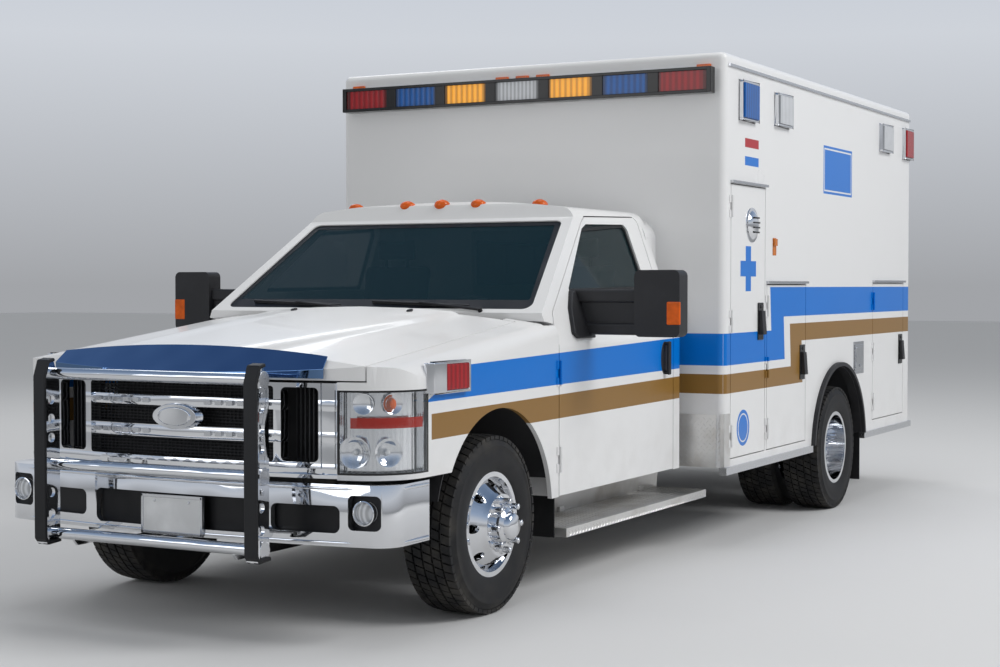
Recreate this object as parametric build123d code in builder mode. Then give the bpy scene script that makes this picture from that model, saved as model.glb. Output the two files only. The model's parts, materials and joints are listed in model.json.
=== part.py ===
from build123d import *
import os
from math import cos, radians, sin

# A box-bodied ambulance on a cutaway van chassis with twin rear wheels.
# Millimetres: +X points forward, +Y to the driver's side, +Z up, z = 0 is the ground
# and the origin lies under the middle of the whole length.

os.makedirs("parts", exist_ok=True)

# Driving dimensions: axles and wheels
front_axle_x = 2500
wheelbase = 4186
axle_z = 390
tyre_radius = 390
tyre_width = 245
bead_radius = 216
rim_lip_radius = 231
rim_half_width = 100
wheel_offset = 155
front_wheel_y = 867
rear_pair_y = 940
hub_radius = 78
lug_circle_radius = 105
lug_count = 8
spindle_radius = 32
running_gap = 0.3

# Driving dimensions: steering
kingpin_y = 742
kingpin_radius = 13
steering_arm = 150
tie_rod_z = 330
ball_pin_radius = 9

# Driving dimensions: frame
rail_y = (370, 430)
rail_z = (500, 670)
rail_x = (-3300, 3150)
channel_wall = 8

# Driving dimensions: cab
cab_back_x = 440
cab_half = 1000
cab_floor_z = (690, 730)
cab_wall = 45
cab_bottom_z = 445
belt_z = 1150
roof_corner = (770, 1815)
cab_roof_z = 1866
door_front_x = 1895
door_rear_x = 530
shut_gap = 6
glass_base = (1975, 1300)
glass_top = (1310, 1770)
glass_thickness = 6

# Driving dimensions: hood, fenders and nose
fender_rear_x = door_front_x + shut_gap
nose_x = 3440
nose_edge = (3360, 760)
nose_corner_radius = 240
hood_rear_x = 2030
nose_break_x = 3338
nose_break_slope = 0.9
hood_slope = 0.1143
hood_rear_z = 1315
hood_skin = 22
hood_front_z = 1050
front_arch = (2470, 395, 500)
bumper_z = (400, 645)
bumper_x = 3466

# Driving dimensions: module
module_front_x = 345
module_rear_x = -3400
module_half = 1220
module_wall = 50
skirt_z = 445
floor_z = (740, 790)
roof_z = (2620, 2680)
rear_arch_radius = 522
locker_depth = 480
hinge_out = 10
hinge_radius = 7
hinge_pin_radius = 4
running_board_x = (60, 1830)
running_board_y = (690, 1005)
running_board_z = (248, 290)
rear_step_depth = 250
rear_step_half = 1080
rear_step_z = (445, 500)

# Sizes that follow from the driving ones
rear_axle_x = front_axle_x - wheelbase
module_inner = module_half - module_wall
wall_front_x = module_front_x - module_wall
wall_rear_x = module_rear_x + module_wall
nose_side_x = nose_x - (nose_x - nose_edge[0]) * (cab_half / nose_edge[1]) ** 2


# Basic forms, added to whichever part is being built
def block(x, y, z, mode=Mode.ADD):
    """A box between its low and high ends on each axis."""
    with Locations(((x[0] + x[1]) / 2, (y[0] + y[1]) / 2, (z[0] + z[1]) / 2)):
        Box(x[1] - x[0], y[1] - y[0], z[1] - z[0], mode=mode)


def rod(start, end, radius, mode=Mode.ADD):
    """A round bar between two points."""
    run = Vector(*end) - Vector(*start)
    with Locations(Plane(origin=start, z_dir=run)):
        Cylinder(radius, run.length, align=(Align.CENTER, Align.CENTER, Align.MIN), mode=mode)


def side_plate(outline, y, mode=Mode.ADD, radius=0, grow=0):
    """An (x, z) outline made solid between two values of y, its corners rounded or its edge moved out."""
    with BuildSketch(Plane.XZ.offset(-y[1])) as profile:
        with BuildLine():
            Polyline(*outline, close=True)
        make_face()
        if radius:
            fillet(profile.vertices(), radius)
        if grow:
            offset(amount=grow, kind=Kind.INTERSECTION, mode=Mode.REPLACE)
    extrude(profile.sketch, amount=y[1] - y[0], mode=mode)


def cross_plate(outline, x, mode=Mode.ADD):
    """A (y, z) outline made solid between two values of x."""
    with BuildSketch(Plane.YZ.offset(x[0])) as profile:
        with BuildLine():
            Polyline(*outline, close=True)
        make_face()
    extrude(profile.sketch, amount=x[1] - x[0], mode=mode)


def plan_plate(outline, z, mode=Mode.ADD):
    """An (x, y) outline made solid between two heights."""
    with BuildSketch(Plane.XY.offset(z[0])) as profile:
        with BuildLine():
            Polyline(*outline, close=True)
        make_face()
    extrude(profile.sketch, amount=z[1] - z[0], mode=mode)


def side_disc(centre, radius, y, mode=Mode.ADD):
    """A round plate whose axis runs along y, centred on an (x, z) point."""
    rod((centre[0], y[0], centre[1]), (centre[0], y[1], centre[1]), radius, mode)


def turned(outline, x, mode=Mode.ADD):
    """A (y, radius) outline turned about the wheel axis at one axle."""
    with BuildSketch(Plane(origin=(x, 0, axle_z), x_dir=(0, 1, 0), z_dir=(1, 0, 0))) as profile:
        with BuildLine():
            Polyline(*outline, close=True)
        make_face()
    revolve(profile.sketch, axis=Axis((x, 0, axle_z), (0, 1, 0)), mode=mode)


def keep(piece, name):
    """Label a finished piece and write it."""
    piece.part.label = name
    export_step(piece.part, f"parts/{name}.step")


# The cab's outer form, which the shell, the doors and their glass are cut from
def cab_form(inset):
    """The cab's closed outer form, pulled in all round by an inset."""
    half = cab_half - inset
    roof = cab_roof_z - inset
    corner = (roof_corner[0] - inset, roof_corner[1] - inset)
    with BuildPart() as form:
        with BuildSketch(Plane.YZ.offset(cab_back_x)) as section:
            with BuildLine():
                Polyline((-corner[0], corner[1]), (-half, belt_z), (-half, cab_bottom_z),
                         (half, cab_bottom_z), (half, belt_z), (corner[0], corner[1]))
                ThreePointArc((-corner[0], corner[1]), (0, roof), (corner[0], corner[1]))
            make_face()
            levels = section.vertices().group_by(Axis.Y)
            fillet(levels[1] + levels[2], 90)
        extrude(amount=glass_base[0] - cab_back_x)
        back = cab_back_x
        front = door_front_x - inset
        side_plate([(back, cab_bottom_z), (front, cab_bottom_z), (front, belt_z + 100),
                    (glass_base[0] - inset, belt_z + 112), (glass_base[0] - inset, glass_base[1]),
                    (glass_top[0] - inset, glass_top[1]), (glass_top[0] - 30 - inset, roof - 22),
                    (glass_top[0] - 160, roof + 1), (back, roof + 1)],
                   (-cab_half, cab_half), Mode.INTERSECT)
    return form.part


def bow_plan(front, edge_x, half, corner, inset, z):
    """Plan shape with a bowed front, rounded front corners and straight sides, made solid."""
    with BuildSketch(Plane.XY.offset(z[0])) as plan:
        with BuildLine():
            ThreePointArc((edge_x - inset, inset - half), (front - inset, 0), (edge_x - inset, half - inset))
            Polyline((edge_x - inset, half - inset), (fender_rear_x, half - inset),
                     (fender_rear_x, inset - half), (edge_x - inset, inset - half))
        make_face()
        fillet(plan.vertices().group_by(Axis.X)[-1], corner - inset)
    return extrude(plan.sketch, amount=z[1] - z[0], mode=Mode.PRIVATE)


# The nose's outer form, which the hood, fenders, grille and headlamps are cut from
def hood_height(x):
    """Height of the hood's middle line, which falls faster ahead of the break."""
    ahead = max(0, x - nose_break_x)
    return hood_rear_z - hood_slope * (x - hood_rear_x) - (nose_break_slope - hood_slope) * ahead


def rounded_slot(x, y, z, radius, mode=Mode.SUBTRACT):
    """A box along X whose corners are rounded as seen from the front."""
    with BuildSketch(Plane.YZ.offset(x[0])) as opening:
        with Locations(((y[0] + y[1]) / 2, (z[0] + z[1]) / 2)):
            RectangleRounded(abs(y[1] - y[0]), z[1] - z[0], radius)
    extrude(opening.sketch, amount=x[1] - x[0], mode=mode)


def cushion(x, y, z, radius):
    """A box with all its edges rounded."""
    with BuildPart(mode=Mode.PRIVATE) as pad:
        block(x, y, z)
        fillet(pad.edges(), radius)
    return pad.part


def nose_form(inset, top_inset=None):
    """Hood and fenders as one closed form, pulled in by an inset."""
    drop = inset if top_inset is None else top_inset
    half = cab_half - inset
    with BuildPart() as form:
        for x in (fender_rear_x, nose_break_x, nose_x + 20):
            top = hood_height(x) - drop
            with BuildSketch(Plane.YZ.offset(x)) as section:
                with BuildLine():
                    crown = ThreePointArc((-half, top - 78), (0, top), (half, top - 78))
                    Polyline((half, top - 78), (half, cab_bottom_z - 60), (-half, cab_bottom_z - 60),
                             (-half, top - 78))
                make_face()
                fillet(section.vertices().group_by(Axis.Y)[-1], 80)
        loft(ruled=True)
        add(bow_plan(nose_x, nose_side_x, cab_half, nose_corner_radius, inset, (300, 1500)),
            mode=Mode.INTERSECT)
    return form.part


# Frame rails and cross members
spring_y = 490
coil_y = 590
coil_seat_z = 620
gearbox_mount_x = 1500
cross_member_x = (3050, 900, 100, -900, -2350, -3230)
cross_member_z = (600, 660)
under_member_z = 440
leaf_eyes = ((rear_axle_x + 640, 575), (rear_axle_x - 680, 590))
leaf_eye_radius = 24
with BuildPart() as chassis_frame:
    for side in (-1, 1):
        block(rail_x, sorted((side * rail_y[0], side * rail_y[1])), rail_z)
        block((rail_x[0] - 1, rail_x[1] + 1),
              sorted((side * (rail_y[0] - 1), side * (rail_y[1] - channel_wall))),
              (rail_z[0] + channel_wall, rail_z[1] - channel_wall), Mode.SUBTRACT)
        block((front_axle_x - 70, front_axle_x + 70), sorted((side * rail_y[1], side * (coil_y + 65))),
              (coil_seat_z, coil_seat_z + 25))
        for eye_x, eye_z in leaf_eyes:
            block((eye_x - 35, eye_x + 35), sorted((side * rail_y[1], side * (spring_y + 38))),
                  (eye_z + leaf_eye_radius, eye_z + leaf_eye_radius + 50))
    for x in cross_member_x:
        block((x - 40, x + 40), (channel_wall - rail_y[1], rail_y[1] - channel_wall), cross_member_z)
        block((x - 34, x + 34), (-rail_y[0], rail_y[0]), (cross_member_z[0] - 1, cross_member_z[1] - 6),
              Mode.SUBTRACT)
    for x, reach in ((front_axle_x, 110), (gearbox_mount_x, 40)):
        block((x - reach, x + reach), (-rail_y[1], rail_y[1]), (under_member_z, rail_z[0]))
keep(chassis_frame, "chassis_frame")

# The heavy engine as one plain block on its cross member
with BuildPart() as engine_block:
    block((2080, 2880), (-290, 290), (rail_z[0], 1080))
keep(engine_block, "engine_block")

# Gearbox and propeller shaft, from the engine to the rear axle
axle_tube_radius = 60
final_drive_radius = 165
with BuildPart() as driveshaft:
    rod((2080, 0, 640), (1925, 0, 622), 138)
    rod((1935, 0, 598), (1250, 0, 560), 70)
    rod((1260, 0, 560), (rear_axle_x + final_drive_radius - 10, 0, axle_z + 15), 40)
    block((gearbox_mount_x - 40, gearbox_mount_x + 40), (-40, 40), (rail_z[0], 560))
    block((2080, 2200), (-140, 140), (500, 790), Mode.SUBTRACT)
    with Locations((rear_axle_x, 0, axle_z)):
        Sphere(final_drive_radius, mode=Mode.SUBTRACT)
keep(driveshaft, "driveshaft")

# Front twin beams with their radius arms, the rear axle, and the springs that carry the frame
beam_end_y = kingpin_y - 45
boss_radius = 30
boss_z = (345, 435)
pin_z = (304, 476)
leaf_thickness = 44
with BuildPart() as axles:
    for side in (-1, 1):
        beam_x = (front_axle_x - 60, front_axle_x - 5) if side > 0 else (front_axle_x + 5, front_axle_x + 60)
        beam = [(-300, 330), (-300, 440), (-255, 440), (-240, 395), (650, 372), (beam_end_y, boss_z[1]),
                (beam_end_y, boss_z[0]), (650, 290)]
        cross_plate([(side * y, z) for y, z in beam], beam_x)
        block((front_axle_x - 60, front_axle_x + 60), sorted((side * (beam_end_y - 1), side * (kingpin_y - 20))),
              boss_z)
        pin_top = (front_axle_x, side * kingpin_y, pin_z[1])
        pin_foot = (front_axle_x, side * kingpin_y, pin_z[0])
        rod((*pin_foot[:2], boss_z[0]), (*pin_foot[:2], boss_z[1]), boss_radius)
        rod(pin_foot, pin_top, kingpin_radius)
        arm_x = beam_x[0] + 8
        rod((arm_x, side * 560, 372), (1775, side * 400, 482), 18)
        block((1745, 1805), sorted((side * 375, side * 425)), (458, rail_z[0]))
        for ring in range(6):
            ring_z = 385 + ring * 40
            with BuildSketch(Plane.XZ.offset(-side * coil_y)) as coil:
                with Locations((front_axle_x + 48, ring_z + 10)):
                    Circle(11)
            revolve(coil.sketch, axis=Axis((front_axle_x, side * coil_y, 0), (0, 0, 1)))
        rod((front_axle_x, side * coil_y, 300), (front_axle_x, side * coil_y, coil_seat_z), 38)
    rod((rear_axle_x, -690, axle_z), (rear_axle_x, 690, axle_z), axle_tube_radius)
    rod((rear_axle_x, -1000, axle_z), (rear_axle_x, 1000, axle_z), spindle_radius + 3)
    with Locations((rear_axle_x, 0, axle_z)):
        Sphere(final_drive_radius)
    for side in (-1, 1):
        span = sorted((side * (spring_y - 36), side * (spring_y + 36)))
        front_eye, rear_eye = leaf_eyes
        seat_z = axle_z + axle_tube_radius - 10
        with BuildSketch(Plane.XZ.offset(-span[1])) as leaf:
            with BuildLine():
                ThreePointArc(front_eye, (rear_axle_x, seat_z), rear_eye)
                Line(rear_eye, (rear_eye[0], rear_eye[1] + 10))
                ThreePointArc((rear_eye[0], rear_eye[1] + 10), (rear_axle_x, seat_z + leaf_thickness),
                              (front_eye[0], front_eye[1] + 10))
                Line((front_eye[0], front_eye[1] + 10), front_eye)
            make_face()
        extrude(leaf.sketch, amount=span[1] - span[0])
        for eye in leaf_eyes:
            side_disc(eye, leaf_eye_radius, span)
keep(axles, "axles")

# Fuel tank, hung from straps under the rails
tank_x = (-3120, -2440)
with BuildPart() as fuel_tank:
    block(tank_x, (-335, 335), (330, 525))
    fillet(fuel_tank.edges().filter_by(Axis.X), 45)
    for x in (tank_x[0] + 160, tank_x[1] - 160):
        block((x - 25, x + 25), (-420, 420), (490, rail_z[0]))
keep(fuel_tank, "fuel_tank")

# Exhaust pipe, silencer and side outlet
with BuildPart() as exhaust:
    with BuildLine() as route:
        FilletPolyline((2380, -310, 395), (-500, -290, 395), (-780, -500, 395), (-780, -1150, 395),
                       radius=110)
    with BuildSketch(Plane(origin=route.line @ 0, z_dir=route.line % 0)):
        Circle(32)
    sweep(path=route.line)
    rod((750, -265, 402), (150, -265, 402), 92)
    for x in cross_member_x[1:3]:
        block((x - 40, x + 40), (-312, -276), (410, cross_member_z[0]))
keep(exhaust, "exhaust")

# Steered knuckles: a fork round the beam's boss, the wheel spindle and the steering arm
fork_z = (314, 466)
fork_thickness = 26
arm_z = (290, 314)
spindle_end_y = 1035
with BuildPart() as knuckle_left:
    block((front_axle_x - 38, front_axle_x + 38), (kingpin_y - 34, kingpin_y + 70),
          (fork_z[0], fork_z[0] + fork_thickness))
    block((front_axle_x - 38, front_axle_x + 38), (kingpin_y - 34, kingpin_y + 70),
          (fork_z[1] - fork_thickness, fork_z[1]))
    block((front_axle_x - 45, front_axle_x + 45), (kingpin_y + 40, kingpin_y + 70), fork_z)
    rod((front_axle_x, kingpin_y + 66, axle_z), (front_axle_x, spindle_end_y, axle_z), spindle_radius)
    plan_plate([(front_axle_x + 30, kingpin_y + 30), (front_axle_x + 30, kingpin_y - 30),
                (front_axle_x - steering_arm - 18, kingpin_y - 16),
                (front_axle_x - steering_arm - 18, kingpin_y + 16)], arm_z)
    rod((front_axle_x - steering_arm, kingpin_y, arm_z[0]),
        (front_axle_x - steering_arm, kingpin_y, tie_rod_z + 18), ball_pin_radius)
    rod((front_axle_x, kingpin_y, arm_z[0] - 1), (front_axle_x, kingpin_y, fork_z[1] + 1),
        kingpin_radius + running_gap, Mode.SUBTRACT)
keep(knuckle_left, "knuckle_left")

with BuildPart() as knuckle_right:
    mirror(knuckle_left.part, about=Plane.XZ)
keep(knuckle_right, "knuckle_right")

# Tie rod between the two steering arms
rod_end_gap = 0.6
with BuildPart() as tie_rod:
    tie_x = front_axle_x - steering_arm
    rod((tie_x, -kingpin_y + 15, tie_rod_z), (tie_x, kingpin_y - 15, tie_rod_z), 11)
    for side in (-1, 1):
        rod((tie_x, side * kingpin_y, tie_rod_z - 12), (tie_x, side * kingpin_y, tie_rod_z + 12), 19)
    for side, gap in ((1, running_gap), (-1, rod_end_gap)):
        rod((tie_x, side * kingpin_y, tie_rod_z - 13), (tie_x, side * kingpin_y, tie_rod_z + 13),
            ball_pin_radius + gap, Mode.SUBTRACT)
keep(tie_rod, "tie_rod")


# Wheels: the tyre section, and a rim whose disc stands out by the wheel's offset
def tyre_at(x, centre_y):
    """One tyre, turned about the axle."""
    half = tyre_width / 2
    section = [(-rim_half_width, bead_radius), (-rim_half_width, rim_lip_radius + 3), (-half + 3, 275),
               (-half, 305), (-half + 3, 335), (18 - half, 372), (30 - half, tyre_radius - 5),
               (60 - half, tyre_radius)]
    other = [(-y, radius) for y, radius in reversed(section)]
    turned([(centre_y + y, radius) for y, radius in section + other], x)


def rim_at(x, centre_y, disc_side):
    """One rim barrel with its dished disc towards disc_side (+1 or -1)."""
    wall = 9
    lip = rim_half_width
    barrel = [(-lip, rim_lip_radius), (-lip - 8, rim_lip_radius), (-lip - 8, bead_radius - wall),
              (lip + 8, bead_radius - wall), (lip + 8, rim_lip_radius), (lip, rim_lip_radius),
              (lip, bead_radius), (-lip, bead_radius)]
    turned([(centre_y + y, radius) for y, radius in barrel], x)
    face_y = disc_side * wheel_offset
    root_y = disc_side * 55
    dish = [(root_y, bead_radius - 2), (root_y + disc_side * 14, bead_radius - 2),
            (face_y - disc_side * 20, 150), (face_y, 135), (face_y, hub_radius - 4),
            (face_y - disc_side * 14, hub_radius - 4), (face_y - disc_side * 14, 130),
            (face_y - disc_side * 36, 142)]
    turned([(centre_y + y, radius) for y, radius in dish], x)
    with Locations(Plane(origin=(x, centre_y, axle_z), x_dir=(1, 0, 0), z_dir=(0, disc_side, 0))):
        with PolarLocations(176, lug_count):
            Cylinder(20, 170, align=(Align.CENTER, Align.CENTER, Align.MIN), mode=Mode.SUBTRACT)


def lugs_at(x, face_y, side, length):
    """The ring of wheel nuts on one disc."""
    with Locations(Plane(origin=(x, face_y, axle_z), x_dir=(1, 0, 0), z_dir=(0, side, 0))):
        with PolarLocations(lug_circle_radius, lug_count):
            Cylinder(13, length, align=(Align.CENTER, Align.CENTER, Align.MIN))


lug_length = 42
for side, side_name in ((1, "left"), (-1, "right")):
    with BuildPart() as front_tyre:
        tyre_at(front_axle_x, side * front_wheel_y)
    keep(front_tyre, f"tyre_front_{side_name}")

    with BuildPart() as front_rim:
        face_y = side * (front_wheel_y + wheel_offset)
        rim_at(front_axle_x, side * front_wheel_y, side)
        turned([(side * (kingpin_y + 90), 0), (side * (kingpin_y + 90), 150), (side * 960, 150),
                (side * 975, hub_radius), (face_y + side * 26, hub_radius), (face_y + side * 40, 60),
                (face_y + side * 44, 0)], front_axle_x)
        lugs_at(front_axle_x, face_y, side, lug_length)
        rod((front_axle_x, side * kingpin_y, axle_z), (front_axle_x, side * (spindle_end_y + 2), axle_z),
            spindle_radius + running_gap, Mode.SUBTRACT)
    keep(front_rim, f"rim_front_{side_name}")

    with BuildPart() as rear_tyres:
        for pair_side in (-1, 1):
            tyre_at(rear_axle_x, side * (rear_pair_y + pair_side * wheel_offset))
    keep(rear_tyres, f"tyres_rear_{side_name}")

    with BuildPart() as rear_rims:
        for pair_side in (-1, 1):
            rim_at(rear_axle_x, side * (rear_pair_y + pair_side * wheel_offset), -side * pair_side)
        turned([(side * 700, 0), (side * 700, 170), (side * 850, 170), (side * 870, hub_radius),
                (side * 1035, hub_radius), (side * 1060, 62), (side * 1064, 0)], rear_axle_x)
        lugs_at(rear_axle_x, side * (rear_pair_y - 14), side, lug_length + 14)
        rod((rear_axle_x, side * 640, axle_z), (rear_axle_x, side * 1002, axle_z),
            spindle_radius + 3 + running_gap, Mode.SUBTRACT)
    keep(rear_rims, f"rims_rear_{side_name}")

# The outer forms and their hollows, each made once
cab_outer = cab_form(0)
cab_hollow = cab_form(cab_wall)
nose_outer = nose_form(0)
nose_hollow = nose_form(hood_skin)

# Cab doors: the outline of one door and of its window, seen from the side
door_outline = [(door_front_x, 450), (door_front_x, 1225), (1862, 1300), (1232, 1745), (1180, 1772),
                (door_rear_x + 25, 1790), (door_rear_x, 1765), (door_rear_x, 450)]
door_frame_outline = [(1879, 1262)] + door_outline[2:-1] + [(door_rear_x, 1262)]
window_outline = [(1640, 1392), (1255, 1712), (1190, 1736), (720, 1748), (690, 1720), (672, 1404)]
hinge_height = 40
cab_hinges = (560, 960)


def jamb_hinge(pivot, along, outward, z):
    """Fixed hinge half: two barrels, their pin and a leaf on the face that lies hinge_out inward."""
    top = z + 3 * hinge_height
    rod((*pivot, z), (*pivot, z + hinge_height), hinge_radius)
    rod((*pivot, top - hinge_height), (*pivot, top), hinge_radius)
    rod((*pivot, z), (*pivot, top), hinge_pin_radius)
    for foot in (z, top - hinge_height):
        hinge_leaf(pivot, along, outward, (foot, foot + hinge_height))


def hinge_leaf(pivot, along, outward, z):
    """A leaf that runs along a wall from the hinge axis, and the neck that joins it to the barrel."""
    for reach, depth in ((26, 4), (6, hinge_out)):
        corners = []
        for a, b in ((0, -hinge_out), (reach, depth - hinge_out)):
            corners.append((pivot[0] + a * along[0] + b * outward[0], pivot[1] + a * along[1] + b * outward[1]))
        block(sorted((corners[0][0], corners[1][0])), sorted((corners[0][1], corners[1][1])), z)


def door_hinge(pivot, along, outward, z):
    """Moving hinge half: one bored barrel between the fixed ones, with its leaf."""
    span = (z + hinge_height + 0.5, z + 2 * hinge_height - 0.5)
    rod((*pivot, span[0]), (*pivot, span[1]), hinge_radius)
    hinge_leaf(pivot, along, outward, span)
    rod((*pivot, span[0] - 1), (*pivot, span[1] + 1), hinge_pin_radius + running_gap, Mode.SUBTRACT)


def door_space(side, grow):
    """Where a side door is cut from the cab: skin deep below the belt, deeper in the leaning frame."""
    with BuildPart() as space:
        side_plate(door_outline, sorted((side * (cab_half - 97), side * (cab_half + 1))), grow=grow)
        side_plate(door_frame_outline,
                   sorted((side * 620, side * (cab_half + 1))), grow=grow)
        block((door_rear_x - 2 * grow, door_front_x + 2 * grow + 1), sorted((0, side * (cab_half - cab_wall))),
              (cab_bottom_z - 10, belt_z), Mode.SUBTRACT)
    return space.part


cab_hinge_x = door_front_x + shut_gap / 2
cab_hinge_y = cab_half + hinge_out

# The windshield's plane, with its y axis running up the glass
glass_rise = Vector(glass_top[0] - glass_base[0], 0, glass_top[1] - glass_base[1])
glass_plane = Plane(origin=(glass_base[0], 0, glass_base[1]), x_dir=(0, 1, 0),
                    z_dir=(glass_rise.Z, 0, -glass_rise.X))
glass_margin = 30
glass_half = (880, 738)


def windshield_outline(depth, thickness, mode):
    """The windshield's shape, sunk below its plane by a depth and given a thickness."""
    with BuildSketch(glass_plane.offset(-depth)) as pane:
        with BuildLine():
            Polyline((-glass_half[0], glass_margin), (glass_half[0], glass_margin),
                     (glass_half[1], glass_rise.length - glass_margin),
                     (-glass_half[1], glass_rise.length - glass_margin), close=True)
        make_face()
        fillet(pane.vertices(), 45)
    extrude(pane.sketch, amount=-thickness, mode=mode)


# Hood hinge: pins at the cowl that the hood's lugs turn on
hood_pivot = (2052, 1262)
hood_pin_radius = 6
hood_lug_y = (300, 312)

# Cab shell: roof, pillars, floor, firewall, sills and the neck towards the module
cab_inner = cab_half - cab_wall
walkway = ((-330, 330), (790, 1740))
with BuildPart() as cab_shell:
    add(cab_outer)
    add(cab_hollow, mode=Mode.SUBTRACT)
    block((cab_back_x - 1, door_front_x - cab_wall), (-cab_inner, cab_inner), (cab_bottom_z - 1, cab_floor_z[0]),
          Mode.SUBTRACT)
    block((door_front_x - cab_wall - 1, door_front_x + 1), (-rail_y[1] - 60, rail_y[1] + 60),
          (cab_bottom_z - 1, cab_floor_z[0] + 60), Mode.SUBTRACT)
    for side in (-1, 1):
        add(door_space(side, shut_gap), mode=Mode.SUBTRACT)
    windshield_outline(-1, cab_wall + 40, Mode.SUBTRACT)
    block((cab_back_x, door_front_x - cab_wall), (8 - cab_inner, cab_inner - 8), cab_floor_z)
    for side in (-1, 1):
        block((cab_back_x, door_front_x - cab_wall), sorted((side * 870, side * (cab_inner - 8))),
              (480, cab_floor_z[0]))
        block((cab_back_x, door_rear_x - 10), sorted((side * 900, side * (cab_inner + 4))), (480, belt_z))
    with BuildSketch(Plane.YZ.offset(module_front_x)) as neck:
        with Locations((0, (cab_floor_z[0] + 1790) / 2)):
            Rectangle(1640, 1790 - cab_floor_z[0])
        fillet(neck.vertices().group_by(Axis.Y)[-1], 120)
        offset(amount=-30, mode=Mode.SUBTRACT)
    extrude(neck.sketch, amount=cab_back_x + cab_wall - module_front_x)
    block((door_front_x - cab_wall, hood_rear_x - 28), (-760, 760), (1190, 1246))
    for side in (-1, 1):
        bracket_y = sorted((side * (hood_lug_y[1] + 2), side * (hood_lug_y[1] + 12)))
        block((hood_rear_x - 40, hood_pivot[0] + 10), bracket_y, (1195, 1238))
        block((hood_pivot[0] - 10, hood_pivot[0] + 10), bracket_y, (1237, hood_pivot[1] + 10))
        side_disc(hood_pivot, hood_pin_radius, sorted((side * (hood_lug_y[0] - 3), side * (hood_lug_y[1] + 12))))
keep(cab_shell, "cab_shell")

with BuildPart() as windshield:
    windshield_outline(8, glass_thickness, Mode.ADD)
keep(windshield, "windshield")

# Cab doors, their glass and mirrors
mirror_head = ((1510, 1610), (1250, 1480), (1185, 1500))
with BuildPart() as cab_door_left:
    add(cab_outer)
    add(cab_hollow, mode=Mode.SUBTRACT)
    add(door_space(1, 0), mode=Mode.INTERSECT)
    side_plate(window_outline, (600, cab_half + 1), Mode.SUBTRACT, radius=14)
    for z in cab_hinges:
        door_hinge((cab_hinge_x, cab_hinge_y), (-1, 0), (0, 1), z)
keep(cab_door_left, "cab_door_left")

with BuildPart() as cab_glass_left:
    add(cab_form(14))
    add(cab_form(14 + glass_thickness), mode=Mode.SUBTRACT)
    side_plate(window_outline, (600, cab_half + 1), Mode.INTERSECT, radius=14)
keep(cab_glass_left, "cab_glass_left")

with BuildPart() as mirror_left:
    block(*mirror_head)
    fillet(mirror_left.edges().filter_by(Axis.X), 30)
    for z in (1220, 1380):
        rod((1560, 860, z), (1560, 1260, z), 12)
    add(cab_outer, mode=Mode.SUBTRACT)
keep(mirror_left, "mirror_left")

for piece, name in ((cab_door_left, "cab_door_right"), (cab_glass_left, "cab_glass_right"),
                    (mirror_left, "mirror_right")):
    with BuildPart() as twin:
        mirror(piece.part, about=Plane.XZ)
    keep(twin, name)

# Hood, with lugs that turn on pins at the cowl
hood_half = (836, 858)
dome_half = (560, 430)
dome_height = 12
dome_edge = 50
hood_plan = [(hood_rear_x, -hood_half[0]), (nose_edge[0], -hood_half[1]), (nose_x + 60, -hood_half[1]),
             (nose_x + 60, hood_half[1]), (nose_edge[0], hood_half[1]), (hood_rear_x, hood_half[0])]


def dome_section(x, half):
    """The raised middle of the hood at one place along it, following the crown."""
    top = hood_height(x)
    inner = half - dome_edge
    across = [(-half, -2), (-inner, dome_height), (-inner / 2, dome_height), (0, dome_height),
              (inner / 2, dome_height), (inner, dome_height), (half, -2)]
    outline = [(y, top - 78 * (y / cab_half) ** 2 + rise) for y, rise in across]
    foot = outline[0][1] - 10
    with BuildSketch(Plane.YZ.offset(x)) as section:
        with BuildLine():
            Polyline(*outline, (half, foot), (-half, foot), close=True)
        make_face()
    return section.sketch


with BuildPart() as hood:
    add(nose_outer)
    loft([dome_section(hood_rear_x + 10, dome_half[0]), dome_section(nose_break_x - 2, dome_half[1])], ruled=True)
    add(nose_hollow, mode=Mode.SUBTRACT)
    plan_plate(hood_plan, (hood_front_z, 1400), Mode.INTERSECT)
    for side in (-1, 1):
        block((hood_pivot[0] - 14, hood_pivot[0] + 14), sorted((side * hood_lug_y[0], side * hood_lug_y[1])),
              (hood_pivot[1] - 12, hood_pivot[1] + 25))
        side_disc(hood_pivot, hood_pin_radius + running_gap,
                  sorted((side * (hood_lug_y[0] - 1), side * (hood_lug_y[1] + 1))), Mode.SUBTRACT)
keep(hood, "hood")

# Bright stone shield over the hood's front edge, on four clips
shield_gap = 10
shield_thickness = 6
shield_z = 1058
shield_half = 720
with BuildPart() as hood_shield:
    add(nose_form(-shield_gap - shield_thickness))
    add(nose_form(-shield_gap), mode=Mode.SUBTRACT)
    with BuildPart(mode=Mode.PRIVATE) as clips:
        for y in (-580, -200, 200, 580):
            block((3376, 3400), (y - 16, y + 16), (hood_front_z + 6, 1250))
        add(nose_form(-shield_gap - 1), mode=Mode.INTERSECT)
        add(nose_outer, mode=Mode.SUBTRACT)
    add(clips.part)
    plan_plate([(nose_break_x, -shield_half + 36), (nose_x + 40, -shield_half), (nose_x + 40, shield_half),
                (nose_break_x, shield_half - 36)], (shield_z, 1250), Mode.INTERSECT)
keep(hood_shield, "hood_shield")

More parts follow.
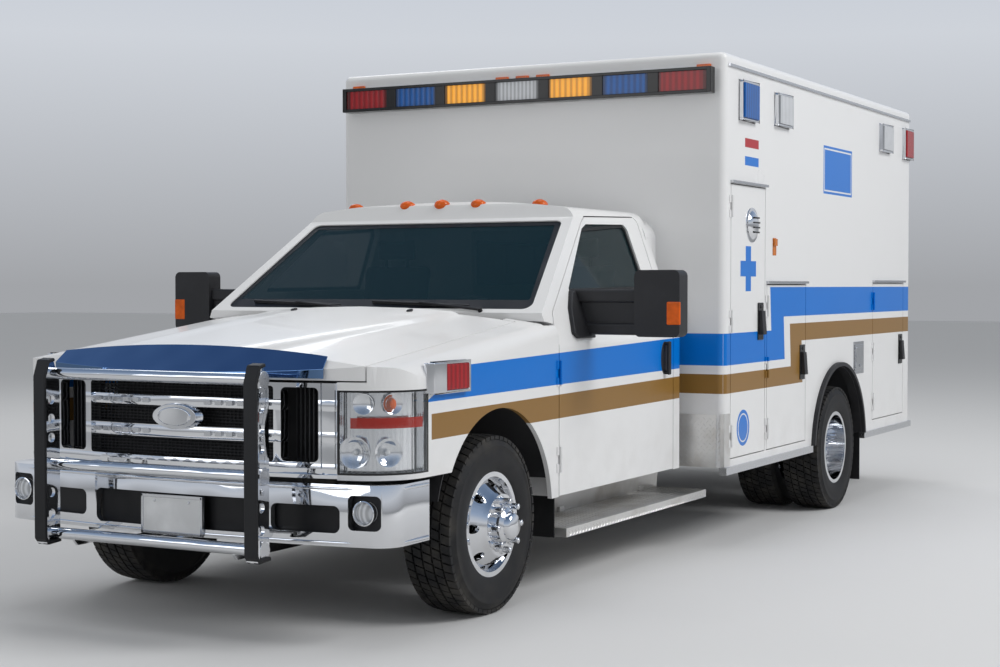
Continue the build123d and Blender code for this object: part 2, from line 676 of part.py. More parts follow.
# Front fenders, with the nose panel round the lamps and grille
grille_half = 745
grille_z = (660, 1040)
lamp_z = (676, 1012)
arch_depth = (520, cab_half - hood_skin)
with BuildPart() as front_fenders:
    add(nose_outer)
    add(nose_hollow, mode=Mode.SUBTRACT)
    with BuildSketch(Plane.XY.offset(hood_front_z - shut_gap)) as seam:
        with BuildLine():
            Polyline(*hood_plan, close=True)
        make_face()
        offset(amount=shut_gap, kind=Kind.INTERSECTION, mode=Mode.REPLACE)
    extrude(seam.sketch, amount=400, mode=Mode.SUBTRACT)
    block((fender_rear_x - 1, hood_rear_x), (-770, 770), (hood_front_z, 1400), Mode.SUBTRACT)
    block((nose_x - 400, nose_x + 60), (-grille_half, grille_half), (300, hood_front_z), Mode.SUBTRACT)
    block((fender_rear_x - 1, glass_base[0] + 7), (-cab_half - 1, cab_half + 1), (1242, 1400), Mode.SUBTRACT)
    block((3085, nose_x + 60), (-cab_half - 1, cab_half + 1), lamp_z, Mode.SUBTRACT)
    block((front_arch[0], nose_x + 60), (-cab_half - 1, cab_half + 1), (300, 655), Mode.SUBTRACT)
    block((fender_rear_x - 1, front_arch[0]), (-cab_half - 1, cab_half + 1), (300, cab_bottom_z), Mode.SUBTRACT)
    block((fender_rear_x - 1, nose_x - 400), (60 - cab_half, cab_half - 60), (300, 1050), Mode.SUBTRACT)
    side_disc(front_arch[:2], front_arch[2], (-cab_half - 1, cab_half + 1), Mode.SUBTRACT)
    for side in (-1, 1):
        for z in cab_hinges:
            jamb_hinge((cab_hinge_x, side * cab_hinge_y), (1, 0), (0, side), z)
keep(front_fenders, "front_fenders")
grille_wall = 40
nose_deep = nose_form(grille_wall)

# Wheelhouses: inner arches over all wheels, and the flared trim round the rear ones
front_liner_radius = front_arch[2] + 20
liner_skin = 6
rear_liner_radius = rear_arch_radius + 15
rear_house_y = 606
arch_trim = 24
with BuildPart() as wheel_liners:
    for side in (-1, 1):
        span = sorted((side * arch_depth[0], side * arch_depth[1]))
        side_disc(front_arch[:2], front_liner_radius + liner_skin, span)
        side_disc(front_arch[:2], front_liner_radius, span, Mode.SUBTRACT)
        span = sorted((side * rear_house_y, side * module_inner))
        side_disc((rear_axle_x, axle_z), rear_liner_radius + liner_skin, span)
        span = sorted((side * (rear_house_y + liner_skin), side * (module_inner + 1)))
        side_disc((rear_axle_x, axle_z), rear_liner_radius, span, Mode.SUBTRACT)
        block((front_arch[0] - 700, front_arch[0] + 700), (-1100, 1100), (-200, 540), Mode.SUBTRACT)
        block((rear_axle_x - 700, rear_axle_x + 700), (-1180, 1180), (-200, 520), Mode.SUBTRACT)
    for side in (-1, 1):
        span = sorted((side * module_half, side * (module_half + 26)))
        side_disc((rear_axle_x, axle_z), rear_arch_radius + arch_trim, span)
        side_disc((rear_axle_x, axle_z), rear_arch_radius, sorted((side * (module_half - 1), side * (module_half + 27))),
                  Mode.SUBTRACT)
    block((rear_axle_x - 700, rear_axle_x + 700), (-1260, 1260), (-300, skirt_z), Mode.SUBTRACT)
keep(wheel_liners, "wheel_liners")

# Chrome bumper: a bowed shell with its slots, lamp holes and brackets
bumper_side_x = 3372
bumper_wall = 26
fog_lamp = (888, 535, 42)
plate_z = (408, 560)
plate_hole_z = 538
plate_hole_spacing = 178
plate_hole_radius = 3.5
bumper_slots = ((-420, 420, 433, 572), (480, 786, 452, 560), (-786, -480, 452, 560))
lamp_pocket = (888, 76, 78)
with BuildPart() as front_bumper:
    add(bow_plan(bumper_x, bumper_side_x, cab_half + 4, 110, 0, bumper_z))
    add(bow_plan(bumper_x, bumper_side_x, cab_half + 4, 110, bumper_wall, (bumper_z[0] - 1, bumper_z[1] - 6)),
        mode=Mode.SUBTRACT)
    add(bow_plan(nose_x + 14, nose_side_x + 10, cab_half - 30, 210, 0, (bumper_z[1] - 7, bumper_z[1] + 1)),
        mode=Mode.SUBTRACT)
    block((fender_rear_x - 1, 3085), (-1100, 1100), (bumper_z[0] - 1, bumper_z[1] + 1), Mode.SUBTRACT)
    for y0, y1, z0, z1 in bumper_slots:
        rounded_slot((3250, 3500), (y0, y1), (z0, z1), 28)
    block((bumper_x - 16, bumper_x), (-155, 155), plate_z)
    for side in (-1, 1):
        rod((bumper_x - 60, side * plate_hole_spacing / 2, plate_hole_z),
            (bumper_x + 10, side * plate_hole_spacing / 2, plate_hole_z), plate_hole_radius, Mode.SUBTRACT)
    for side in (-1, 1):
        y, z = side * lamp_pocket[0], fog_lamp[1]
        half_y, half_z = lamp_pocket[1:]
        rounded_slot((3356, 3480), (y - half_y + 9, y + half_y - 9), (z - half_z + 9, z + half_z - 9), 22)
        with BuildPart(mode=Mode.PRIVATE) as pocket:
            rounded_slot((3348, 3480), (y - half_y, y + half_y), (z - half_z, z + half_z), 28, Mode.ADD)
            rounded_slot((3356, 3481), (y - half_y + 8, y + half_y - 8), (z - half_z + 8, z + half_z - 8), 22)
            add(bow_plan(bumper_x, bumper_side_x, cab_half + 4, 110, 0, bumper_z), mode=Mode.INTERSECT)
        add(pocket.part)
        rod((3250, y, z), (3500, y, z), fog_lamp[2], Mode.SUBTRACT)
        block((rail_x[1], bumper_x - 34), sorted((side * 424, side * 464)), (rail_z[0] + 20, rail_z[0] + 100))
keep(front_bumper, "front_bumper")

# Grille guard: two drilled uprights, three cross tubes and the brackets back to the frame
guard_y = 540
guard_plate = 16
guard_tube_z = (390, 680, 1060)
guard_tube_x = 3588
with BuildPart() as grille_guard:
    for side in (-1, 1):
        span = sorted((side * (guard_y - guard_plate / 2), side * (guard_y + guard_plate / 2)))
        side_plate([(3548, 372), (3575, 350), (3650, 350), (3650, 1070), (3622, 1115), (3584, 1115),
                    (3548, 1020)], span)
        for z in (470, 560, 790, 870, 950):
            side_disc((3598, z), 20, (span[0] - 1, span[1] + 1), Mode.SUBTRACT)
        block((3636, 3650), sorted((side * (guard_y - 27), side * (guard_y + 27))), (352, 1068))
        side_plate([(3092, rail_z[0]), (3150, rail_z[0]), (3150, 398), (3600, 398), (3600, 366), (3580, 344),
                    (3110, 344), (3092, 362)], sorted((side * 406, side * 418)))
    for z in guard_tube_z:
        rod((guard_tube_x, -guard_y, z), (guard_tube_x, guard_y, z), 24)
keep(grille_guard, "grille_guard")

# Grille: the bright surround, its bars and side slots, and the dark radiator behind
centre_opening = (475, 720, 1026)
side_opening = (508, 672, 725, 1022)
grille_proud = 8
bars = ((798, 850), (930, 972))
with BuildPart() as grille:
    add(nose_outer)
    add(nose_deep, mode=Mode.SUBTRACT)
    block((nose_x - 220, nose_x + 60), (-grille_half, grille_half), grille_z, Mode.INTERSECT)
    block((nose_x - 230, nose_x + 60), (-centre_opening[0], centre_opening[0]), centre_opening[1:], Mode.SUBTRACT)
    with BuildPart(mode=Mode.PRIVATE) as surround:
        add(nose_form(-grille_proud))
        add(nose_form(2), mode=Mode.SUBTRACT)
        block((nose_x - 220, nose_x + 60), (4 - grille_half, grille_half - 4), (700, grille_z[1]), Mode.INTERSECT)
        rounded_slot((nose_x - 230, nose_x + 60), (-centre_opening[0], centre_opening[0]), centre_opening[1:], 14)
        for side in (-1, 1):
            groove = side * (side_opening[1] + 12)
            block((nose_x - 230, nose_x + 60), (groove - 3, groove + 3), (690, grille_z[1] + 1), Mode.SUBTRACT)
    add(surround.part)
    for side in (-1, 1):
        rounded_slot((nose_x - 230, nose_x + 60), sorted((side * side_opening[0], side * side_opening[1])),
                     side_opening[2:], 22)
    for low, high in bars:
        with BuildPart(mode=Mode.PRIVATE) as bar:
            add(nose_form(4))
            add(nose_deep, mode=Mode.SUBTRACT)
            block((nose_x - 220, nose_x + 60), (-centre_opening[0], centre_opening[0]), (low, high),
                  Mode.INTERSECT)
        add(bar.part)
keep(grille, "grille")

with BuildPart() as radiator:
    block((3085, 3148), (-560, 560), (700, 1020))
    for side in (-1, 1):
        block((3090, 3140), sorted((side * 380, side * 425)), (rail_z[1], 700))
keep(radiator, "radiator")

# Seats, and the dashboard with the steering wheel and the engine cover
with BuildPart() as cab_seats:
    for side in (-1, 1):
        y = sorted((side * 330, side * 800))
        block((950, 1320), (y[0] + 40, y[1] - 40), (cab_floor_z[1], 930))
        add(cushion((900, 1365), y, (925, 1045), 28))
        side_plate([(940, 1040), (830, 1560), (740, 1560), (840, 930), (910, 930)], (y[0] + 10, y[1] - 10))
        side_plate([(825, 1555), (815, 1690), (765, 1690), (765, 1555)], (y[0] + 110, y[1] - 110))
keep(cab_seats, "cab_seats")

steering_hub = Vector(1520, 400, 1230)
steering_tilt = 45
with BuildPart() as dashboard:
    side_plate([(door_front_x - cab_wall, 1184), (1640, 1184), (1575, 1130), (1590, 930), (1690, 830),
                (door_front_x - cab_wall, 830)], (-880, 880))
    block((1400, 1700), (-270, 270), (cab_floor_z[1], 1000))
    column = Vector(-cos(radians(90 - steering_tilt)), 0, sin(radians(90 - steering_tilt)))
    wheel_plane = Plane(origin=steering_hub, x_dir=(0, 1, 0), z_dir=column)
    with Locations(wheel_plane):
        Torus(188, 14)
        Cylinder(42, 40)
    for angle in (-90, 25, 155):
        spoke = wheel_plane.from_local_coords(Vector(188 * cos(radians(angle)), 188 * sin(radians(angle)), 0))
        rod(tuple(steering_hub), tuple(spoke), 11)
    rod(tuple(steering_hub), tuple(steering_hub - column * 260), 24)
keep(dashboard, "dashboard")

# Module doors: name, side (+1 is the driver's), low and high x, low and high z
door_gap = 6
door_skin = 45
side_doors = (
    ("tall_locker_door", 1, -290, 250, 490, 1975),
    ("middle_locker_door", 1, -1020, -330, 490, 1430),
    ("rear_locker_door", 1, -3220, -2460, 517, 1440),
    ("right_locker_door", -1, -3220, -2460, 517, 1440),
    ("entry_door", -1, -800, 0, 560, 2300),
)
rear_door_z = (800, 2330)
rear_door_y = (3, 604)
door_face_y = module_half
side_hinge_y = module_half + hinge_out
rear_hinge_x = module_rear_x - hinge_out
rear_hinge_y = rear_door_y[1] + door_gap / 2
entry_window = ((-640, -160), (1480, 2090))
rear_window = ((130, 480), (1480, 2050))
side_lamp_z = 2440


def hinge_heights(low, high):
    """Where the hinges of a door of this height stand."""
    return (low + 60, (low + high) / 2 - 60, high - 180)


# Module floor on its two long sills
step_well = ((-800, 0), (-module_inner, -840))
with BuildPart() as module_floor:
    block((wall_rear_x, wall_front_x), (-module_inner, module_inner), floor_z)
    for side in (-1, 1):
        block((rail_x[0], wall_front_x), sorted((side * 380, side * 430)), (rail_z[1], floor_z[0]))
        block((rear_axle_x - rear_liner_radius - 8, rear_axle_x + rear_liner_radius + 8),
              sorted((side * (rear_house_y - 4), side * (module_inner + 1))), (floor_z[0] - 1, floor_z[1] + 1),
              Mode.SUBTRACT)
    for name, side, x0, x1, z0, z1 in side_doors[:4]:
        block((x0 - 20, x1 + 20), sorted((side * (module_inner - locker_depth), side * (module_inner + 1))),
              (floor_z[0] - 1, floor_z[1] + 1), Mode.SUBTRACT)
    block(*step_well, (floor_z[0] - 1, floor_z[1] + 1), Mode.SUBTRACT)
    block((step_well[0][0] - 12, step_well[0][1] + 12), (step_well[1][0], step_well[1][1] + 12), (530, floor_z[1]))
    block(step_well[0], (step_well[1][0] - 1, step_well[1][1]), (545, floor_z[1] + 1), Mode.SUBTRACT)
keep(module_floor, "module_floor")

# Front and rear walls of the module
with BuildPart() as module_end_walls:
    block((wall_front_x, module_front_x), (-module_inner, module_inner), (skirt_z, roof_z[0]))
    block((wall_front_x - 1, module_front_x + 1), (-800, 800), (skirt_z - 1, rail_z[1] + 6), Mode.SUBTRACT)
    block((wall_front_x - 1, module_front_x + 1), (-700, 700), (skirt_z - 1, floor_z[1]), Mode.SUBTRACT)
    block((wall_front_x - 1, module_front_x + 1), *walkway, Mode.SUBTRACT)
    block((module_rear_x, wall_rear_x), (-module_inner, module_inner), (skirt_z, roof_z[0]))
    block((module_rear_x - 1, wall_rear_x + 1), (-rear_door_y[1] - door_gap, rear_door_y[1] + door_gap),
          (rear_door_z[0] - door_gap, rear_door_z[1] + door_gap), Mode.SUBTRACT)
    for side in (-1, 1):
        for z in hinge_heights(*rear_door_z):
            jamb_hinge((rear_hinge_x, side * rear_hinge_y), (0, side), (-1, 0), z)
keep(module_end_walls, "module_end_walls")

# Side walls with their door openings, wheel arch and hinge halves
for side, side_name in ((1, "left"), (-1, "right")):
    with BuildPart() as side_wall:
        block((module_rear_x, module_front_x), sorted((side * module_inner, side * module_half)),
              (skirt_z, roof_z[0]))
        outer_edges = side_wall.edges().filter_by(Axis.Z).group_by(Axis.Y)[-1 if side > 0 else 0]
        fillet(outer_edges, 42)
        side_disc((rear_axle_x, axle_z), rear_arch_radius, sorted((side * (module_inner - 1), side * (module_half + 1))),
                  Mode.SUBTRACT)
        for name, door_side, x0, x1, z0, z1 in side_doors:
            if door_side == side:
                block((x0 - door_gap, x1 + door_gap), sorted((side * (module_inner - 1), side * (module_half + 1))),
                      (z0 - door_gap, z1 + door_gap), Mode.SUBTRACT)
                for z in hinge_heights(z0, z1):
                    jamb_hinge((x1 + door_gap / 2, side * side_hinge_y), (1, 0), (0, side), z)
    keep(side_wall, f"module_{side_name}_wall")

# Roof
with BuildPart() as module_roof:
    block((module_rear_x, module_front_x), (-module_half, module_half), roof_z)
    fillet(module_roof.edges().filter_by(Axis.Z), 42)
    fillet(module_roof.edges().group_by(Axis.Z)[-1], 34)
keep(module_roof, "module_roof")

# Side doors of the module
for name, side, x0, x1, z0, z1 in side_doors:
    with BuildPart() as door:
        block((x0, x1), sorted((side * (module_half - door_skin), side * module_half)), (z0, z1))
        if name == "entry_door":
            block(entry_window[0], (-module_half - 1, -module_inner), entry_window[1], Mode.SUBTRACT)
        for z in hinge_heights(z0, z1):
            door_hinge((x1 + door_gap / 2, side * side_hinge_y), (-1, 0), (0, side), z)
    keep(door, name)

with BuildPart() as entry_glass:
    block(entry_window[0], (-module_half + 10, -module_half + 16), entry_window[1])
keep(entry_glass, "entry_glass")

# Rear doors and their windows
for side, side_name in ((1, "left"), (-1, "right")):
    window_y = sorted((side * rear_window[0][0], side * rear_window[0][1]))
    with BuildPart() as rear_door:
        block((module_rear_x, module_rear_x + door_skin), sorted((side * rear_door_y[0], side * rear_door_y[1])),
              rear_door_z)
        block((module_rear_x - 1, wall_rear_x), window_y, rear_window[1], Mode.SUBTRACT)
        for z in hinge_heights(*rear_door_z):
            door_hinge((rear_hinge_x, side * rear_hinge_y), (0, -side), (-1, 0), z)
    keep(rear_door, f"rear_door_{side_name}")

    with BuildPart() as rear_glass:
        block((module_rear_x + 10, module_rear_x + 16), window_y, rear_window[1])
    keep(rear_glass, f"rear_glass_{side_name}")

# Lockers behind the outside doors, open outwards
locker_skin = 12
for side, side_name in ((1, "left"), (-1, "right")):
    with BuildPart() as lockers:
        for name, door_side, x0, x1, z0, z1 in side_doors[:4]:
            if door_side == side:
                back = module_inner - locker_depth
                block((x0 - 18, x1 + 18), sorted((side * back, side * module_inner)), (z0 - 18, z1 + 18))
                block((x0 - 18 + locker_skin, x1 + 18 - locker_skin),
                      sorted((side * (back + locker_skin), side * (module_inner + 1))),
                      (z0 - 18 + locker_skin, z1 + 18 - locker_skin), Mode.SUBTRACT)
    keep(lockers, f"lockers_{side_name}")

# Patient compartment: bench over one wheelhouse, cabinets over the other
house_x = (rear_axle_x - rear_liner_radius - 12, rear_axle_x + rear_liner_radius + 12)
house_top = axle_z + rear_liner_radius + liner_skin + 4
with BuildPart() as patient_cabinets:
    for side, inner_y, top_z in ((-1, rear_house_y - 2, 1230), (1, 690, 1360)):
        span = sorted((side * inner_y, side * module_inner))
        block((house_x[0] - 150, house_x[1] + 50), span, (house_top, top_z))
        block((house_x[0] - 150, house_x[0]), span, (floor_z[1], house_top + 1))
        block((house_x[1], house_x[1] + 50), span, (floor_z[1], house_top + 1))
    block((-3230, 280), (820, module_inner), (2010, 2600))
keep(patient_cabinets, "patient_cabinets")

# Tread plate: running boards on their arms, the rear step and the stone guards
with BuildPart() as tread_plates:
    for side in (-1, 1):
        board_y = sorted((side * running_board_y[0], side * running_board_y[1]))
        block(running_board_x, board_y, running_board_z)
        for x in (300, 1300):
            block((x - 25, x + 25), sorted((side * 385, side * 720)),
                  (running_board_z[1] - 1, running_board_z[1] + 26))
            block((x - 25, x + 25), sorted((side * 385, side * 425)), (running_board_z[1], rail_z[0]))
        block((module_front_x, module_front_x + 4), sorted((side * 880, side * (module_half - 44))), (skirt_z, 730))
    block((module_rear_x - rear_step_depth, module_rear_x), (-rear_step_half, rear_step_half), rear_step_z)
keep(tread_plates, "tread_plates")

# Bright trim: skirt rails, drip rails over the doors and the fuel filler plate
fuel_filler = ((-2238, -2010), (844, 1056))
with BuildPart() as body_trim:
    arch_reach = rear_arch_radius + arch_trim
    for side in (-1, 1):
        out = sorted((side * (module_half - 30), side * (module_half + 14)))
        for x in ((module_rear_x, rear_axle_x - arch_reach), (rear_axle_x + arch_reach, module_front_x)):
            block(x, out, (skirt_z - 40, skirt_z))
        block((module_rear_x + 45, module_front_x - 45), sorted((side * module_half, side * (module_half + 12))),
              (roof_z[0] - 14, roof_z[0]))
    for name, side, x0, x1, z0, z1 in side_doors:
        rail_low = z1 + door_gap + 2
        block((x0 - 15, x1 + 15), sorted((side * module_half, side * (module_half + 18))), (rail_low, rail_low + 14))
    block(fuel_filler[0], (module_half, module_half + 4), fuel_filler[1])
    block((module_rear_x - 18, module_rear_x), (-660, 660), (rear_door_z[1] + 10, rear_door_z[1] + 24))
keep(body_trim, "body_trim")

# Lamps, sorted by the colour of their lenses
face = module_half
nose_lamp_z = (1000, 1106)


def lamp_box(x, z, half_x, half_z):
    """A square lamp on the module's side wall."""
    block((x - half_x, x + half_x), (face, face + 34), (z - half_z, z + half_z))


def mirrored_pieces():
    """Add the mirror image of everything in the part, for the other side."""
    mirror(about=Plane.XZ)


bar_segments = ((1150, 838, "red"), (828, 506, "blue"), (496, 174, "amber"), (164, -164, "clear"))
bar_z = (2465, 2586)
bar_x = (module_front_x + 26, module_front_x + 74)


def bar_lens(colour):
    """The lightbar's lenses of one colour, on both sides."""
    for high, low, name in bar_segments:
        if name == colour:
            block(bar_x, (low, high), bar_z)
            if low > 0:
                block(bar_x, (-high, -low), bar_z)


with BuildPart() as lightbar:
    block((module_front_x, bar_x[0]), (-1160, 1160), (bar_z[0] - 10, bar_z[1] + 10))
keep(lightbar, "lightbar")

with BuildPart() as red_lamps:
    lamp_box(-3280, side_lamp_z, 90, 95)
    block((2790, 3080), (940, cab_half + 26), nose_lamp_z)
    block((module_rear_x - 34, module_rear_x), (800, 1020), (2380, 2520))
    block((module_rear_x - 30, module_rear_x), (860, 960), (600, 760))
    mirrored_pieces()
    bar_lens("red")
    add(nose_outer, mode=Mode.SUBTRACT)
keep(red_lamps, "red_lamps")

with BuildPart() as blue_lamps:
    lamp_box(10, side_lamp_z, 115, 95)
    mirrored_pieces()
    bar_lens("blue")
keep(blue_lamps, "blue_lamps")

with BuildPart() as amber_lamps:
    for x, y in ((1284, 555), (1318, 214)):
        block((x - 42, x + 42), (y - 32, y + 32), (1800, cab_roof_z + 8 - 22 * (y / 555) ** 2))
    for y in (1100, 130):
        block((module_front_x, module_front_x + 16), (y - 40, y + 40), (2598, 2616))
    block((module_rear_x - 30, module_rear_x), (990, 1090), (600, 760))
    mirrored_pieces()
    block((1324 - 42, 1324 + 42), (-32, 32), (1800, cab_roof_z + 8))
    block((module_front_x, module_front_x + 16), (-40, 40), (2598, 2616))
    block((module_rear_x - 30, module_rear_x), (-110, 110), (2400, 2500))
    bar_lens("amber")
    add(cab_outer, mode=Mode.SUBTRACT)
keep(amber_lamps, "amber_lamps")

with BuildPart() as clear_lamps:
    lamp_box(-570, side_lamp_z, 115, 80)
    lamp_box(-2720, side_lamp_z, 115, 80)
    block((module_rear_x - 34, module_rear_x), (420, 640), (2400, 2500))
    block((module_rear_x - 30, module_rear_x), (730, 830), (600, 760))
    rod((3340, fog_lamp[0], fog_lamp[1]), (bumper_x - 60, fog_lamp[0], fog_lamp[1]), fog_lamp[2])
    mirrored_pieces()
    bar_lens("clear")
    with BuildPart(mode=Mode.PRIVATE) as headlamps:
        add(nose_outer)
        add(nose_deep, mode=Mode.SUBTRACT)
        block((3085, nose_x + 60), (-cab_half, cab_half), lamp_z, Mode.INTERSECT)
        block((3085, nose_x + 60), (-grille_half - 1, grille_half + 1), lamp_z, Mode.SUBTRACT)
    add(headlamps.part)
keep(clear_lamps, "clear_lamps")
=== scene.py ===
"""Dresses the ambulance: every visible piece, its finish, the lamps and the studio around it."""
import json
import math

import bmesh
import bpy
from mathutils import Matrix, Vector

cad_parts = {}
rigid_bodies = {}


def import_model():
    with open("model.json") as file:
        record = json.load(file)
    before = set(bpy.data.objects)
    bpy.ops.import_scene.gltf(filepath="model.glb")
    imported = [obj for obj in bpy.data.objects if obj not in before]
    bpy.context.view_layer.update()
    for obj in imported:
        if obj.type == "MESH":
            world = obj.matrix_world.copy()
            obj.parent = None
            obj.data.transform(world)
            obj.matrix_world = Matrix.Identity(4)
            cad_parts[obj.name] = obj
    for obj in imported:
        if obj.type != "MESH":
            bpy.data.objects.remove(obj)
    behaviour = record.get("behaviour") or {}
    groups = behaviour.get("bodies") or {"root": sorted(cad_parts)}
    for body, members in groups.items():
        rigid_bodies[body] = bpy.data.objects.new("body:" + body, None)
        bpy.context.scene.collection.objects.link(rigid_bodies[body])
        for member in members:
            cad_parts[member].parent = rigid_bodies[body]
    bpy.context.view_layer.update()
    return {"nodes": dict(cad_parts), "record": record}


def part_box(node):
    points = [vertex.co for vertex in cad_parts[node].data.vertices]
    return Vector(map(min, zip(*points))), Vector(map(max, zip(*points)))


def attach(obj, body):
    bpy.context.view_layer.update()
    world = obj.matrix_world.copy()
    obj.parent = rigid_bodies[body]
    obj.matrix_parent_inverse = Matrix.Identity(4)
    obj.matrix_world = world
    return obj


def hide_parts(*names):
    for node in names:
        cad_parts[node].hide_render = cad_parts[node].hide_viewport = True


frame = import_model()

bl_info = {
    "name": "Ambulance",
    "version": (1, 0, 0),
    "blender": (4, 5, 0),
    "location": "View3D > Sidebar > Ambulance",
    "description": "Models and finishes a box-bodied ambulance round its CAD frame",
    "category": "Object",
}

NODES = frame["nodes"]
BODY_OF = {node: body for body, members in frame["record"]["behaviour"]["bodies"].items() for node in members}
SLOT_OF = {part["node"]: part["material_slot"] for part in frame["record"]["subparts"]}
SIDES = ((1, "left"), (-1, "right"))

# Places that several pieces share, in metres: x forward, y to the driver's side, z up
FRONT_AXLE_X, REAR_AXLE_X, AXLE_Z = 2.5, -1.686, 0.39
FRONT_WHEEL_Y, REAR_PAIR_Y = 0.867, 0.94
MODULE_FRONT, MODULE_REAR, MODULE_HALF = 0.345, -3.4, 1.22
CAB_HALF, BELT_Z, DOOR_LEAN = 1.0, 1.15, 0.346
# Half the distance between twin wheels, and the length of one window of the light bar
WHEEL_OFFSET, BAR_PITCH = 0.155, 0.333
GLASS_BASE, GLASS_TOP = Vector((1.975, 0, 1.300)), Vector((1.310, 0, 1.770))
UP_GLASS = (GLASS_TOP - GLASS_BASE).normalized()


# Finishes

class Value:
    """A socket that takes part in Python expressions, each of which adds Math nodes."""

    def __init__(self, graph, socket):
        self.graph, self.socket = graph, socket

    def math(self, operation, *others):
        return self.graph.node("ShaderNodeMath", {"operation": operation}, [self, *others])

    def __add__(self, other): return self.math("ADD", other)
    def __radd__(self, other): return self.math("ADD", other)
    def __sub__(self, other): return self.math("SUBTRACT", other)
    def __rsub__(self, other): return self.graph.node("ShaderNodeMath", {"operation": "SUBTRACT"}, [other, self])
    def __mul__(self, other): return self.math("MULTIPLY", other)
    def __truediv__(self, other): return self.math("DIVIDE", other)
    def __abs__(self): return self.math("ABSOLUTE")
    def __gt__(self, other): return self.math("GREATER_THAN", other)
    def __lt__(self, other): return self.math("LESS_THAN", other)
    def least(self, other): return self.math("MINIMUM", other)
    def most(self, other): return self.math("MAXIMUM", other)
    def wave(self): return self.math("SINE")
    def repeat(self, step): return self.math("PINGPONG", step)

    def between(self, low, high):
        """1 inside the range and 0 outside it."""
        return (self > low) * (self < high)

    def ramp(self, low, high, start=0.0, end=1.0):
        return self.graph.node("ShaderNodeMapRange", {"interpolation_type": "SMOOTHSTEP"},
                               {"Value": self, "From Min": low, "From Max": high, "To Min": start, "To Max": end})


class Graph:
    """A node tree that is filled from Python expressions."""

    def __init__(self, tree):
        self.tree = tree
        tree.nodes.clear()

    def feed(self, socket, value):
        if isinstance(value, Value):
            self.tree.links.new(value.socket, socket)
        elif socket.type == "RGBA" and len(value) == 3:
            socket.default_value = (*value, 1.0)
        else:
            socket.default_value = value

    def node(self, kind, settings={}, inputs={}, output=0):
        """Adds one node: its settings first, then the values or links of its sockets."""
        made = self.tree.nodes.new(kind)
        for name, value in settings.items():
            setattr(made, name, value)
        pairs = inputs.items() if isinstance(inputs, dict) else enumerate(inputs)
        for key, value in pairs:
            self.feed(made.inputs[key], value)
        return Value(self, made.outputs[output]) if made.outputs else None

    def parts(self, vector):
        """The three parts of a vector."""
        split = self.node("ShaderNodeSeparateXYZ", {}, [vector]).socket.node
        return [Value(self, socket) for socket in split.outputs]


class Finish(Graph):
    """A material with a Principled shader, built from object coordinates."""

    def __init__(self, name, colour, roughness=0.5, metallic=0.0, **settings):
        self.material = bpy.data.materials.new(name)
        self.material.use_nodes = True
        super().__init__(self.material.node_tree)
        shader = self.node("ShaderNodeBsdfPrincipled")
        self.inputs = shader.socket.node.inputs
        self.node("ShaderNodeOutputMaterial", {}, {"Surface": shader})
        self.set("Base Color", colour)
        self.set("Roughness", roughness)
        self.set("Metallic", metallic)
        for socket, value in settings.items():
            self.set(socket.replace("_", " "), value)
        self.place = self.node("ShaderNodeTexCoord", output="Object")
        self.x, self.y, self.z = self.parts(self.place)

    def set(self, socket, value):
        self.feed(self.inputs[socket], value)

    def mix(self, factor, first, second):
        """A colour between two, by a mask."""
        return self.node("ShaderNodeMix", {"data_type": "RGBA"}, {0: factor, 6: first, 7: second}, 2)

    def noise(self, scale, detail=2.0, stretch=(1.0, 1.0, 1.0)):
        vector = self.node("ShaderNodeVectorMath", {"operation": "MULTIPLY"}, [self.place, stretch])
        return self.node("ShaderNodeTexNoise", {}, {"Vector": vector, "Scale": scale, "Detail": detail})

    def flutes(self, along, pitch):
        """Waves from 0 to 1 along a direction."""
        return (along * pitch).wave().ramp(-1.0, 1.0)

    def bump(self, height, strength=0.3, distance=0.001):
        self.set("Normal", self.node("ShaderNodeBump", {},
                                     {"Height": height, "Strength": strength, "Distance": distance}))


def colour_setting(name, description, default):
    return bpy.props.FloatVectorProperty(name=name, description=description, default=default, size=3,
                                         subtype="COLOR", min=0.0, max=1.0)


def number_setting(name, description, default, low, high, **kind):
    return bpy.props.FloatProperty(name=name, description=description, default=default, min=low, max=high, **kind)


class AMBULANCE_PG_looks(bpy.types.PropertyGroup):
    """Colours and sizes that a user would change"""
    paint: colour_setting("Body paint", "Colour of the cab and the module", (0.80, 0.80, 0.80))
    stripe_blue: colour_setting("Upper stripe", "Colour of the upper stripe and the plain panels", (0.0, 0.17, 0.62))
    stripe_gold: colour_setting("Lower stripe", "Colour of the lower stripe", (0.27, 0.145, 0.036))
    lens_red: colour_setting("Red lens", "Colour of the red lamps", (0.42, 0.006, 0.012))
    lens_blue: colour_setting("Blue lens", "Colour of the blue lamps", (0.002, 0.12, 0.46))
    lens_amber: colour_setting("Amber lens", "Colour of the amber lamps", (0.74, 0.20, 0.008))
    dust: number_setting("Road dust", "How much dust lies low on the body", 0.16, 0.0, 1.0, subtype="FACTOR")
    lug_length: number_setting("Wheel nut length", "How far the nuts stand out of the wheel covers",
                               0.045, 0.01, 0.08, unit="LENGTH")
    tread_depth: number_setting("Tread depth", "Depth of the tyres' grooves", 0.011, 0.002, 0.02, unit="LENGTH")
    lens: number_setting("Lens", "Focal length of the camera in millimetres", 62.0, 20.0, 200.0)
    floor_shade: number_setting("Floor shade", "How pale the studio floor is", 0.70, 0.0, 1.0, subtype="FACTOR")


def looks():
    return bpy.context.scene.ambulance_looks


def darker(colour, share):
    return tuple(c * share for c in colour)


